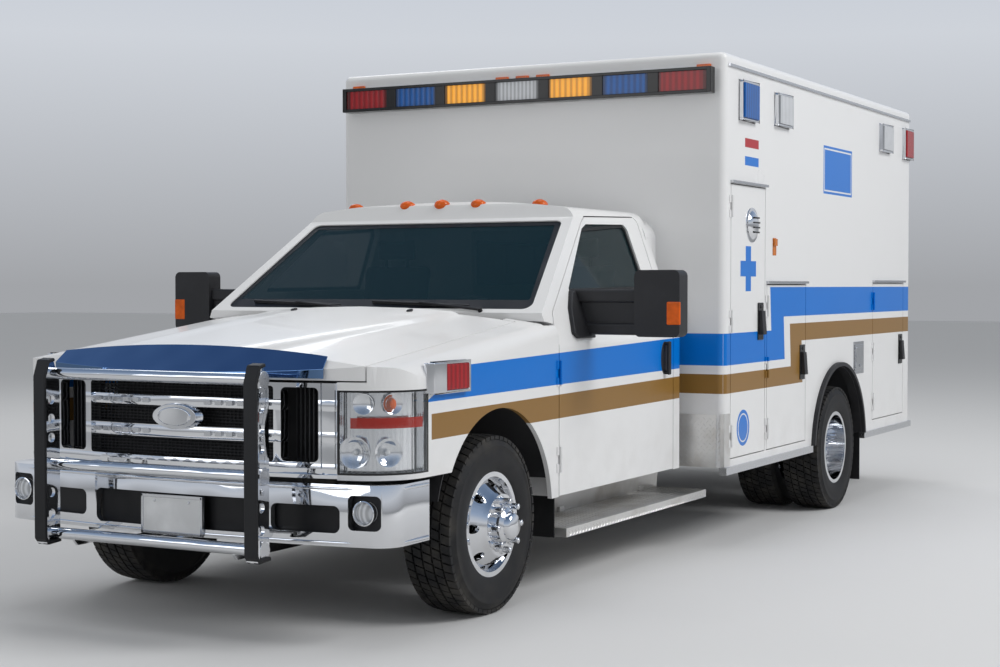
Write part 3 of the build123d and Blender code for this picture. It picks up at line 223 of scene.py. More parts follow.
def stripe_masks(f):
    """Upper and lower stripe of the cab and the module, with the step up behind the tall door."""
    side = abs(f.y)
    ends = (f.x > MODULE_FRONT - 0.012).most(f.x < MODULE_REAR + 0.012)
    on_box = (f.x < MODULE_FRONT + 0.004) * (side > MODULE_HALF - 0.012).most(ends)
    on_cab = (f.x > MODULE_FRONT + 0.004) * (side > 0.94)
    step = f.x - (f.z - 1.2) * 0.08

    def band(low, high, rise, near, far):
        lower = f.z.between(low, high) * (step > far)
        riser = f.z.between(low, high + rise) * step.between(far, near)
        upper = f.z.between(low + rise, high + rise) * (step < near)
        return lower.most(riser).most(upper)

    along = (f.x - MODULE_FRONT) / 2.43
    blue_cab = (f.z > 0.982 - along * 0.022) * (f.z < 1.15 - along * 0.055) * (f.x + (f.z - 0.96) * 2.4 < 3.1)
    gold_cab = (f.z > 0.822 - along * 0.017) * (f.z < 0.94 - along * 0.029) * (f.x < 3.06)
    blue = on_box * band(0.995, 1.168, 0.25, -0.40, -0.625) + on_cab * blue_cab
    gold = on_box * band(0.843, 0.948, 0.253, -0.73, -0.94) + on_cab * gold_cab
    return blue.least(1.0), gold.least(1.0)


def paint():
    """White body paint with the stripes, plain decals and road dust low down."""
    p = looks()
    f = Finish("body_paint", p.paint, 0.30, Specular_IOR_Level=0.25, Coat_Weight=0.2, Coat_Roughness=0.04)

    def patch(x, z, half_x, half_z):
        return f.x.between(x - half_x, x + half_x) * f.z.between(z - half_z, z + half_z)

    blue, gold = stripe_masks(f)
    left = f.y > MODULE_HALF - 0.012
    cross = patch(-0.02, 1.52, 0.043, 0.125).most(patch(-0.02, 1.52, 0.125, 0.043))
    panel = patch(-1.66, 2.15, 0.30, 0.15)
    panel_line = patch(-1.66, 2.15, 0.285, 0.135) - patch(-1.66, 2.15, 0.275, 0.125)
    dx, dz = f.x - 0.054, f.z - 0.642
    from_disc = (dx * dx + dz * dz).math("SQRT")
    flag = left * patch(-0.07, 2.165, 0.11, 0.075)
    bars = (f.z - 2.09) / 0.05
    speckle = f.noise(2.3, 3.0)
    colour = f.mix(speckle.ramp(0.3, 0.7, 0.96, 1.0), (0.70, 0.70, 0.69), p.paint)
    for mask, over in ((blue, p.stripe_blue), (gold, p.stripe_gold),
                       (left * cross.most(from_disc < 0.1).most(panel), p.stripe_blue),
                       (left * from_disc.between(0.072, 0.08).most(panel_line), (0.75, 0.76, 0.78)),
                       (flag * (bars < 1.0), p.stripe_blue), (flag * (bars > 2.0), p.lens_red)):
        colour = f.mix(mask, colour, over)
    dust = f.z.ramp(0.95, 0.40) * f.noise(7.0, 5.0).ramp(0.35, 0.75, 0.1, 0.8) * p.dust
    f.set("Base Color", f.mix(dust, colour, (0.33, 0.30, 0.26)))
    f.set("Roughness", 0.26 + dust * 0.5 + speckle * 0.06)
    f.set("Coat Weight", 0.2 - blue.most(gold) * 0.17)
    f.bump(f.noise(160.0), 0.02, 0.0004)
    return f


def chrome(name="chrome", colour=(0.74, 0.75, 0.77), crown=0.0, bars=0.0):
    """Bright plating with road film low down; a crown rounds a bumper's face or a grille's bars."""
    f = Finish(name, colour, 0.06, 1.0)
    film = f.z.ramp(0.55, 0.2) * f.noise(11.0, 4.0).ramp(0.45, 0.8)
    f.set("Base Color", f.mix(film * 0.35, colour, (0.40, 0.37, 0.33)))
    f.set("Roughness", 0.04 + f.noise(7.0, 3.0).ramp(0.4, 0.8) * 0.05 + film * 0.15)
    from_middle = f.z - 0.522
    from_bar = abs(f.z - 0.824).repeat(0.0635)
    rounding = from_middle * from_middle * crown + (from_bar * from_bar).least(0.0005) * bars
    f.bump(f.noise(6.0, 0.0) * 0.006 - rounding, 1.0, 1.0)
    return f


def stainless():
    f = Finish("stainless", (0.62, 0.63, 0.65), 0.2, 1.0)
    brushed = f.noise(60.0, 3.0, (1.0, 1.0, 14.0))
    f.set("Roughness", 0.16 + brushed * 0.16)
    f.bump(brushed, 0.08, 0.0003)
    return f


def aluminium():
    f = Finish("aluminium", (0.66, 0.67, 0.68), 0.35, 1.0)
    brushed = f.noise(40.0, 3.0, (1.0, 12.0, 12.0))
    spots = f.noise(11.0, 4.0)
    f.set("Base Color", f.mix(spots.ramp(0.4, 0.8), (0.68, 0.69, 0.70), (0.50, 0.49, 0.47)))
    f.set("Roughness", 0.26 + brushed * 0.2 + spots * 0.08)
    f.bump(brushed, 0.1, 0.0004)
    return f


def tread_sheet():
    """Bright tread plate, with dirt between its bars."""
    f = Finish("tread_sheet", (0.72, 0.71, 0.69), 0.36, 0.8)
    grime = f.noise(5.0, 5.0)
    f.set("Base Color", f.mix(grime.ramp(0.4, 0.8), (0.74, 0.73, 0.71), (0.56, 0.53, 0.49)))
    f.set("Roughness", 0.34 + grime.ramp(0.35, 0.8) * 0.10)
    f.bump(f.noise(220.0), 0.08, 0.0003)
    return f


def tyre_rubber():
    """Dark rubber, ringed on the walls, with dust towards the tread."""
    black = (0.016, 0.016, 0.017)
    f = Finish("tyre_rubber", black, 0.75, Specular_IOR_Level=0.25)

    def radius(axle_x):
        return ((f.x - axle_x) * (f.x - axle_x) + (f.z - AXLE_Z) * (f.z - AXLE_Z)).math("SQRT")

    away = radius(FRONT_AXLE_X).least(radius(REAR_AXLE_X))
    dust = f.noise(13.0, 5.0).ramp(0.35, 0.8) * away.ramp(0.3, 0.392, 0.15, 0.65)
    f.set("Base Color", f.mix(dust, black, (0.085, 0.078, 0.068)))
    f.set("Roughness", 0.62 + dust * 0.3)
    f.bump(f.noise(380.0) + (away * 900.0).wave() * 0.25, 0.16, 0.0008)
    return f


def plastic(name, colour, roughness=0.5, grain=420.0):
    """Moulded plastic with a fine grain and a little dust."""
    f = Finish(name, colour, roughness, Specular_IOR_Level=0.3)
    leather = f.noise(grain, 3.0)
    dust = f.noise(6.0, 4.0).ramp(0.4, 0.8)
    f.set("Base Color", f.mix(dust, colour, tuple(min(1.0, c * 1.25 + 0.006) for c in colour)))
    f.set("Roughness", roughness - 0.06 + dust * 0.12 + leather * 0.06)
    f.bump(leather, 0.15, 0.0005)
    return f


def weathered(name, metallic, clean, dirty, patches, roughness, grain, bump):
    """A dull metal or a dark paint with patches of rust or grime."""
    f = Finish(name, clean, roughness[0], metallic)
    patch = f.noise(*patches[:2]).ramp(*patches[2:])
    rough = f.noise(*grain)
    f.set("Base Color", f.mix(patch, clean, dirty))
    f.set("Roughness", roughness[0] + patch * roughness[1] + rough * roughness[2])
    f.bump(rough, *bump)
    return f


def glass():
    """Tinted glass: clear, dark green and glossy, with a light film of dust."""
    f = Finish("tinted_glass", (0.004, 0.024, 0.030), 0.03, Specular_IOR_Level=0.4)
    film = f.noise(5.0, 5.0).ramp(0.4, 0.9)
    f.set("Roughness", 0.02 + film * 0.04)
    f.set("Alpha", 0.56 + film * 0.05)
    return f


def lens(name, colour, pitch=180.0, fluted=True, glow=0.0):
    """A moulded lamp lens, lighter between its flutes and dark at the ends of a light bar's windows."""
    f = Finish(name, colour, 0.16, IOR=1.42)
    facets = f.flutes(f.x + f.y, pitch) if fluted else (f.noise(pitch, 1.0) * 2.0 - 1.0).ramp(-1.0, 1.0)
    cloud = f.noise(14.0, 3.0)
    deep = darker(colour, 0.5)
    in_bar = (f.x > MODULE_FRONT + 0.02) * (f.z > 2.4)
    ends = abs(f.y).repeat(BAR_PITCH / 2).ramp(0.112, 0.128) * in_bar
    shade = f.mix(facets * 0.7 + cloud * 0.3, deep, colour)
    f.set("Base Color", f.mix(ends * 0.85, shade, darker(colour, 0.12)))
    f.set("Roughness", 0.12 + cloud * 0.1)
    if glow:
        f.set("Emission Color", f.mix(ends, f.mix(facets, deep, colour), (0.0, 0.0, 0.0)))
        f.set("Emission Strength", glow)
    f.bump(facets, 0.3, 0.0008)
    return f


def reflector():
    f = Finish("lamp_reflector", (0.82, 0.83, 0.85), 0.12, 1.0)
    ribs = f.flutes(f.x + f.y, 420.0)
    f.set("Roughness", 0.08 + ribs * 0.12)
    f.bump(ribs, 0.4, 0.0012)
    return f


def mirror_glass():
    f = Finish("mirror_glass", (0.82, 0.84, 0.86), 0.02, 1.0)
    f.set("Roughness", 0.01 + f.noise(12.0, 3.0).ramp(0.4, 0.9) * 0.05)
    return f


def headlamp():
    """The headlamps' clear covers, with a dark edge all round and a coloured band across them."""
    clear = (0.60, 0.64, 0.67)
    f = Finish("headlamp_cover", clear, 0.04, IOR=1.48)
    band = f.z.between(0.862, 0.904) * f.x.between(3.13, 3.352)
    edge = (f.z < 0.684).most(f.z > 1.004).most(abs(f.y) < 0.756).most(f.x < 3.098)
    flutes = f.flutes(abs(f.y) - f.x, 200.0)
    low_part = f.z < 0.862
    f.set("Base Color", f.mix(edge, f.mix(band, clear, (0.34, 0.020, 0.012)), (0.010, 0.010, 0.011)))
    f.set("Alpha", (0.12 + flutes * 0.10 * low_part).most(band * 0.94).most(edge))
    f.set("Roughness", 0.05 + flutes * 0.04)
    f.bump(flutes * low_part, 0.25, 0.0008)
    return f


def upholstery(name, colour, thread=1500.0):
    """Woven cloth: two crossed sets of threads."""
    f = Finish(name, colour, 0.85, Sheen_Weight=0.3)
    weave = ((f.x + f.z) * thread).wave() * (f.y * thread).wave()
    wear = f.noise(9.0, 4.0)
    f.set("Base Color", f.mix(weave.ramp(-1.0, 1.0) * 0.6 + wear * 0.4, darker(colour, 0.55), colour))
    f.set("Roughness", 0.78 + wear * 0.15)
    f.bump(weave + f.noise(40.0, 3.0) * 0.6, 0.12, 0.0006)
    return f


def vinyl(name, colour):
    """Padded vinyl with a leather grain."""
    f = Finish(name, colour, 0.42, Coat_Weight=0.15)
    wear = f.noise(7.0, 4.0)
    f.set("Base Color", f.mix(wear.ramp(0.3, 0.7), darker(colour, 0.7), colour))
    f.set("Roughness", 0.34 + wear * 0.2)
    f.bump(f.noise(300.0, 5.0), 0.3, 0.0009)
    return f


LIBRARY = {}


def make_library():
    p = looks()
    LIBRARY.update(
        paint=paint(), chrome=chrome(), stainless=stainless(), aluminium=aluminium(), tread=tread_sheet(),
        tyre=tyre_rubber(), glass=glass(), reflector=reflector(), mirror=mirror_glass(), headlamp=headlamp(),
        # The bug shield's plating is tinted deep blue, a painted reflection of the sky in the chrome.
        shield=chrome("shield_plating_painted_sky", (0.15, 0.26, 0.46)), bumper=chrome("bumper_chrome", crown=1.1),
        grille=chrome("grille_chrome", bars=7.0), seal=plastic("rubber_seal", (0.012, 0.012, 0.013), 0.55, 260.0),
        cast=weathered("cast_metal", 0.6, (0.085, 0.085, 0.088), (0.10, 0.05, 0.028), (9.0, 5.0, 0.52, 0.78),
                       (0.55, 0.0, 0.3), (90.0, 5.0), (0.35, 0.002)),
        frame=weathered("frame_paint", 0.0, (0.018, 0.018, 0.019), (0.085, 0.075, 0.06), (8.0, 5.0, 0.35, 0.8),
                        (0.38, 0.4, 0.0), (120.0, 3.0), (0.15, 0.001)),
        exhaust=weathered("exhaust_steel", 0.9, (0.42, 0.40, 0.38), (0.17, 0.085, 0.045), (12.0, 6.0, 0.4, 0.75),
                          (0.35, 0.4, 0.0), (70.0, 4.0), (0.2, 0.001)),
        black=plastic("black_plastic", (0.022, 0.022, 0.024)),
        gloss_black=plastic("gloss_black", (0.012, 0.012, 0.013), 0.16, 60.0),
        edge=plastic("glass_border", (0.004, 0.004, 0.005), 0.35, 60.0),
        grey=plastic("grey_trim", (0.13, 0.135, 0.145), 0.6),
        laminate=plastic("laminate", (0.56, 0.57, 0.58), 0.42, 140.0),
        plate=plastic("plate_white", (0.68, 0.69, 0.70), 0.35, 60.0),
        red=lens("red_lens", p.lens_red), blue=lens("blue_lens", p.lens_blue),
        amber=lens("amber_lens", p.lens_amber),
        amber_lit=lens("amber_lens_lit", (0.95, 0.40, 0.03), glow=0.45),
        orange=lens("orange_lens", (0.80, 0.13, 0.006), 30.0, False, 0.10),
        clear=lens("clear_lens", (0.72, 0.74, 0.77), 260.0),
        cloth=upholstery("seat_cloth", (0.085, 0.09, 0.105)), vinyl=vinyl("seat_vinyl", (0.10, 0.13, 0.20)),
        floor_vinyl=vinyl("floor_vinyl", (0.17, 0.18, 0.19)),
    )


# The finish of each material slot, and the slot of each finish of a piece
FINISH_OF_SLOT = {
    "white_paint": "paint", "chrome": "chrome", "frame_paint": "frame", "cast_metal": "cast", "steel": "exhaust",
    "aluminium": "aluminium", "tyre": "tyre", "black_plastic": "black", "grey_trim": "grey", "seat_cloth": "cloth",
    "glass": "glass", "red_lens": "red", "blue_lens": "blue", "amber_lens": "amber", "clear_lens": "clear",
}
SLOT_OF_FINISH = {finish: slot for slot, finish in FINISH_OF_SLOT.items()} | {
    "stainless": "chrome", "mirror": "chrome", "seal": "black_plastic", "gloss_black": "black_plastic",
    "edge": "black_plastic", "tread": "aluminium", "plate": "white_paint", "laminate": "grey_trim",
    "orange": "amber_lens", "vinyl": "seat_cloth",
}


# Shapes

def block(bm, first, second):
    """A box between two opposite corners."""
    low, high = (Vector([pick(pair) for pair in zip(first, second)]) for pick in (min, max))
    place = Matrix.Translation((low + high) / 2) @ Matrix.Diagonal((*(high - low), 1.0))
    return bmesh.ops.create_cube(bm, size=1.0, matrix=place)["verts"]


def rod(bm, start, end, radius, end_radius=None, sides=24):
    """A round bar, or a taper, between two points."""
    start, end = Vector(start), Vector(end)
    along = end - start
    place = Matrix.Translation((start + end) / 2) @ along.to_track_quat("Z", "Y").to_matrix().to_4x4()
    bmesh.ops.create_cone(bm, cap_ends=True, segments=sides, radius1=radius,
                          radius2=radius if end_radius is None else end_radius, depth=along.length, matrix=place)


def ball(bm, centre, radius, squash=(1, 1, 1), rings=10, sides=18):
    place = Matrix.Translation(centre) @ Matrix.Diagonal((*squash, 1.0))
    return bmesh.ops.create_uvsphere(bm, u_segments=sides, v_segments=rings, radius=radius, matrix=place)["verts"]


def turned(bm, profile, centre, axis=(0, 1, 0), sides=48, across=(1, 0, 0), closed=False):
    """Spins a profile of (distance along the axis, radius) pairs round it."""
    centre, axis, across = Vector(centre), Vector(axis), Vector(across)
    verts = [bm.verts.new(centre + axis * a + across * r) for a, r in profile]
    pairs = list(zip(verts, verts[1:])) + ([(verts[-1], verts[0])] if closed else [])
    edges = [bm.edges.new(pair) for pair in pairs]
    bmesh.ops.spin(bm, geom=verts + edges, cent=centre, axis=axis, angle=2 * math.pi, steps=sides, use_merge=True)


def drawn_out(bm, faces, shift):
    """Makes faces solid along a direction."""
    made = bmesh.ops.extrude_face_region(bm, geom=faces)["geom"]
    bmesh.ops.translate(bm, verts=[v for v in made if isinstance(v, bmesh.types.BMVert)], vec=shift)


def plate(bm, outline, flat, low, high):
    """An outline in the plane across axis number flat, drawn out between two places on that axis."""
    corners = []
    for pair in outline:
        corner = list(pair)
        corner.insert(flat, low)
        corners.append(bm.verts.new(corner))
    drawn_out(bm, [bm.faces.new(corners)], [high - low if axis == flat else 0 for axis in range(3)])


def soft_corners(bm, edges, width, segments=2):
    bmesh.ops.bevel(bm, geom=edges, offset=width, segments=segments, profile=0.5, affect="EDGES", material=-1)


def frame_round(bm, centre, half, flat, depth, width):
    """Four bars round a rectangle that faces along axis number flat."""
    rows = [axis for axis in range(3) if axis != flat]
    for along, across in (rows, rows[::-1]):
        for way in (-1, 1):
            low, high = [0.0] * 3, [0.0] * 3
            low[flat], high[flat] = centre[flat], centre[flat] + depth
            low[along], high[along] = centre[along] - half[along] - width, centre[along] + half[along] + width
            edge = centre[across] + way * (half[across] + width / 2)
            low[across], high[across] = edge - width / 2, edge + width / 2
            block(bm, low, high)


def copied(node, merge=2e-5, flat=0.6):
    """A CAD node's mesh as a bmesh, its loose triangles merged into flat faces."""
    bm = bmesh.new()
    bm.from_mesh(NODES[node].data)
    bmesh.ops.remove_doubles(bm, verts=bm.verts, dist=merge)
    bmesh.ops.dissolve_limit(bm, angle_limit=math.radians(flat), verts=bm.verts, edges=bm.edges)
    return bm


def placed(name, data):
    """Adds an object to the scene."""
    made = bpy.data.objects.new(name, data)
    bpy.context.scene.collection.objects.link(made)
    return made


def mesh_of(bm, name, recalculate=True):
    """The mesh of a bmesh, its doubled corners joined and its faces turned outward."""
    bmesh.ops.remove_doubles(bm, verts=bm.verts, dist=1e-5)
    if recalculate:
        bmesh.ops.recalc_face_normals(bm, faces=bm.faces)
    mesh = bpy.data.meshes.new(name)
    bm.to_mesh(mesh)
    bm.free()
    return mesh


def piece(name, bm, finish, bevel=0.0, body="vehicle", slot=None, angle=35.0, recalculate=True):
    """Turns a bmesh into a finished piece that rides on a body."""
    mesh = mesh_of(bm, name, recalculate)
    mesh.materials.append(LIBRARY[finish].material)
    mesh.shade_smooth()
    mesh.set_sharp_from_angle(angle=math.radians(angle))
    made = placed(name, mesh)
    if bevel:
        edge = made.modifiers.new("Edges", "BEVEL")
        edge.width, edge.segments, edge.limit_method = bevel, 2, "ANGLE"
        edge.angle_limit = math.radians(angle)
        edge.harden_normals = True
    slot = slot or SLOT_OF_FINISH[finish]
    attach(made, body)
    return made


def skin(node, finish=None, bevel=0.0, angle=28.0):
    """Stands a smooth-shaded copy of a CAD node in its place."""
    slot = SLOT_OF[node]
    finish = finish or FINISH_OF_SLOT[slot]
    made = piece(f"{node}_skin", copied(node), finish, bevel, BODY_OF[node], slot, angle, False)
    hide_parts(node)
    return made


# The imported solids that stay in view, or that a smooth copy stands for

# The finish of each smooth copy, where its slot's isn't meant, and the width of its soft edges
SMOOTH = {
    "cab_shell": (None, 0.004), "hood": (None, 0.003), "hood_shield": ("shield", 0.0015),
    "front_fenders": (None, 0.003), "cab_door_left": (None, 0.003), "cab_door_right": (None, 0.003),
    "front_bumper": ("bumper", 0.004), "grille_guard": (None, 0.003), "grille": ("grille", 0.002),
    "mirror_left": (None, 0.006), "mirror_right": (None, 0.006), "module_end_walls": (None, 0.004),
    "windshield": (None, 0.0), "red_lamps": (None, 0.004), "blue_lamps": (None, 0.004),
}
FINISH_OF_NODE = {"tread_plates": "tread", "module_floor": "floor_vinyl", "patient_cabinets": "laminate",
                  "body_trim": "stainless"}
CAB_ROOF_LAMPS = ((0.0, 1.262, 1.846), (0.214, 1.256, 1.843), (-0.214, 1.256, 1.843), (0.555, 1.228, 1.837),
                  (-0.555, 1.228, 1.837))
FOG_LAMP_SET_BACK = 0.022


class AMBULANCE_OT_solids(bpy.types.Operator):
    """Gives each solid of the frame its finish, or stands a smooth copy in its place"""
    bl_idname = "ambulance.solids"
    bl_label = "Solids"

    def execute(self, context):
        for node, solid in NODES.items():
            if node in SMOOTH:
                skin(node, *SMOOTH[node])
            else:
                finish = FINISH_OF_NODE.get(node, FINISH_OF_SLOT[SLOT_OF[node]])
                solid.data.materials.clear()
                solid.data.materials.append(LIBRARY[finish].material)
        self.clear_lamps()
        self.amber_lamps()
        return {"FINISHED"}

    def clear_lamps(self):
        """The headlamps get a bright back behind a clear front, and the other clear lamps a fluted lens."""
        mesh = skin("clear_lamps").data
        for v in mesh.vertices:
            if v.co.x > 3.3 and v.co.z < 0.6:
                v.co.x -= FOG_LAMP_SET_BACK
        for finish in ("headlamp", "reflector"):
            mesh.materials.append(LIBRARY[finish].material)
        for face in mesh.polygons:
            centre, normal = face.center, face.normal
            if centre.x > 3.0 and 0.66 < centre.z < 1.03 and abs(centre.y) > 0.7:
                outward = Vector((centre.x - 2.95, centre.y - math.copysign(0.62, centre.y), 0.0))
                flat = abs(normal.z) > 0.7 or abs(normal.y) > 0.98 and abs(centre.y) < 0.76
                face.material_index = 1 if normal.dot(outward) > 0.02 and not flat else 2

    def amber_lamps(self):
        """Brighter lenses in the light bar, and round domes for the lamps over the windshield."""
        mesh = skin("amber_lamps", "orange", 0.003).data
        mesh.materials.append(LIBRARY["amber_lit"].material)
        bm = bmesh.new()
        bm.from_mesh(mesh)
        bmesh.ops.delete(bm, geom=[v for v in bm.verts if v.co.x > 1.0], context="VERTS")
        for face in bm.faces:
            face.material_index = int(face.calc_center_median().x > 0.365)
        bm.to_mesh(mesh)
        bm.free()
        bm = bmesh.new()
        for y, x, z in CAB_ROOF_LAMPS:
            for v in ball(bm, (0, 0, 0), 1.0, rings=14, sides=24):
                long = 0.060 if v.co.x < 0 else 0.036
                v.co = (x + v.co.x * long, y + v.co.y * 0.040, z + v.co.z * 0.030)
        piece("cab_roof_lamps", bm, "orange")


# Wheels

# Each wheel set's name, place, side and wheels, with the names of its solids
WHEEL_SETS = [
    (f"{end}_{name}", x, side * y, side, offsets, f"tyre{many}_{end}_{name}", f"rim{many}_{end}_{name}")
    for end, x, y, offsets, many in (("front", FRONT_AXLE_X, FRONT_WHEEL_Y, (0.0,), ""),
                                     ("rear", REAR_AXLE_X, REAR_PAIR_Y, (-WHEEL_OFFSET, WHEEL_OFFSET), "s"))
    for side, name in SIDES
]
TYRE_RADIUS = 0.39
TREAD_PITCHES = 58
LUG_COUNT, LUG_CIRCLE = 8, 0.105
# Each row of tread blocks: its place across the tyre, its width and its share of a step round it
TREAD_RIBS = ((-0.0905, 0.036, 0.0), (-0.046, 0.036, 0.5), (0.0, 0.038, 0.0), (0.046, 0.036, 0.5),
              (0.0905, 0.036, 0.0))
# Half of a tyre's section, from bead to tread: distance from its middle, and radius
TYRE_OUTLINE = ((-0.097, 0.217), (-0.107, 0.226), (-0.116, 0.250), (-0.1215, 0.285), (-0.1225, 0.312),
                (-0.1205, 0.335), (-0.1222, 0.339), (-0.1215, 0.344), (-0.1175, 0.348), (-0.113, 0.362),
                (-0.107, 0.373), (-0.096, 0.3785))
TYRE_INSIDE = ((0.093, 0.222), (0.104, 0.26), (0.108, 0.32), (0.085, 0.36))


def mirrored(profile):
    """A profile's pairs in reverse, on the other side of the middle."""
    return [(-a, r) for a, r in reversed(profile)]


class AMBULANCE_OT_tyres(bpy.types.Operator):
    """Turns the tyres, with the blocks of their treads"""
    bl_idname = "ambulance.tyres"
    bl_label = "Tyres"

    def execute(self, context):
        for name, x, y, _, offsets, node, _ in WHEEL_SETS:
            bm = bmesh.new()
            for offset in offsets:
                self.tyre(bm, Vector((x, y + offset, AXLE_Z)))
            made = piece(f"tyre_tread_{name}", bm, "tyre", 0.0, BODY_OF[node], angle=40.0, recalculate=False)
            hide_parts(node)
        return {"FINISHED"}

    def tyre(self, bm, centre):
        floor_radius = TYRE_RADIUS - looks().tread_depth
        outside = [(a, min(r, floor_radius)) for a, r in TYRE_OUTLINE]
        inside = list(TYRE_INSIDE)
        carcass = bmesh.new()
        turned(carcass, outside + mirrored(outside) + inside + mirrored(inside), centre, sides=72, closed=True)
        mesh = mesh_of(carcass, "carcass")
        bm.from_mesh(mesh)
        bpy.data.meshes.remove(mesh)
        step = 2 * math.pi / TREAD_PITCHES
        half = TYRE_RADIUS * step * 0.41
        for across, width, phase in TREAD_RIBS:
            verts = block(bm, centre + Vector((-half, across - width / 2, floor_radius - 0.004)),
                          centre + Vector((half, across + width / 2, TYRE_RADIUS)))
            for v in verts:
                v.co.x += (v.co.y - centre.y - across) * 0.35
                if abs(across) > 0.08 and abs(v.co.y - centre.y) > abs(across):
                    v.co.z -= 0.005 if v.co.z > centre.z + floor_radius else 0.006
                    v.co.y += math.copysign(0.004, across)
            bmesh.ops.rotate(bm, verts=verts, cent=centre, matrix=Matrix.Rotation(phase * step, 3, "Y"))
            edges = {e for v in verts for e in v.link_edges}
            faces = {f for v in verts for f in v.link_faces}
            bmesh.ops.spin(bm, geom=[*verts, *edges, *faces], cent=centre, axis=(0, 1, 0),
                           angle=2 * math.pi - step, steps=TREAD_PITCHES - 1, use_duplicate=True)


class AMBULANCE_OT_wheel_covers(bpy.types.Operator):
    """Polished wheels: the rims, the hub caps and the long nut covers"""
    bl_idname = "ambulance.wheel_covers"
    bl_label = "Wheel covers"

    def execute(self, context):
        for name, x, y, side, offsets, _, rim in WHEEL_SETS:
            skin(rim, "chrome", 0.0015, 24.0)
            front = len(offsets) == 1
            bm = bmesh.new()
            face = y + side * (WHEEL_OFFSET if front else 0.0)
            self.cover(bm, Vector((x, face, AXLE_Z)), Vector((0, side, 0)), 0.070 if front else 0.115)
            piece(f"wheel_cover_{name}", bm, "chrome", 0.0, BODY_OF[rim], angle=40.0)
        return {"FINISHED"}

    def cover(self, bm, centre, out, reach):
        turned(bm, [(0.0, 0.082), (reach * 0.35, 0.079), (reach * 0.45, 0.062), (reach * 0.8, 0.058),
                    (reach * 0.95, 0.046), (reach, 0.0)], centre, axis=out, sides=40)
        end = out * looks().lug_length * 0.8
        for index in range(LUG_COUNT):
            angle = 2 * math.pi / LUG_COUNT * index
            nut = centre + Vector((math.cos(angle), 0, math.sin(angle))) * LUG_CIRCLE
            rod(bm, nut, nut + out * 0.008, 0.0225, 0.019, 20)
            rod(bm, nut + out * 0.006, nut + end, 0.0145, 0.0135, 6)
            ball(bm, nut + end, 0.0135, (1, 0.9, 1), 8, 14)


# Front end

GUARD_OUTLINE = ((3.563, 0.351), (3.640, 0.345), (3.662, 0.372), (3.664, 1.05), (3.640, 1.118), (3.600, 1.126),
                 (3.594, 1.112), (3.628, 1.103), (3.648, 1.045), (3.647, 0.378), (3.634, 0.361), (3.567, 0.368))
# Bowls behind the headlamps' covers: place, the way they face in degrees, and radius
BEAM_BOWLS = ((3.349, 0.812, 0.765, 16, 0.058), (3.279, 0.937, 0.765, 52, 0.052))
SMALL_BOWLS = ((3.262, 0.950, 0.958, 55), (3.337, 0.849, 0.958, 28))
PLATE_HALF = 0.1525
BUMPER_FRONT, BUMPER_BOW = 3.4655, 0.0933


def bumper_face(y):
    """How far forward the bumper's bowed face stands."""
    return BUMPER_FRONT - BUMPER_BOW * y * y


def blank_plate(name, x, z):
    """A blank number plate with rounded corners."""
    bm = bmesh.new()
    block(bm, (x[0], -PLATE_HALF, z[0]), (x[1], PLATE_HALF, z[1]))
    soft_corners(bm, [e for e in bm.edges if abs(e.verts[0].co.x - e.verts[1].co.x) > 0.003], 0.012, 4)
    piece(name, bm, "plate", 0.001)


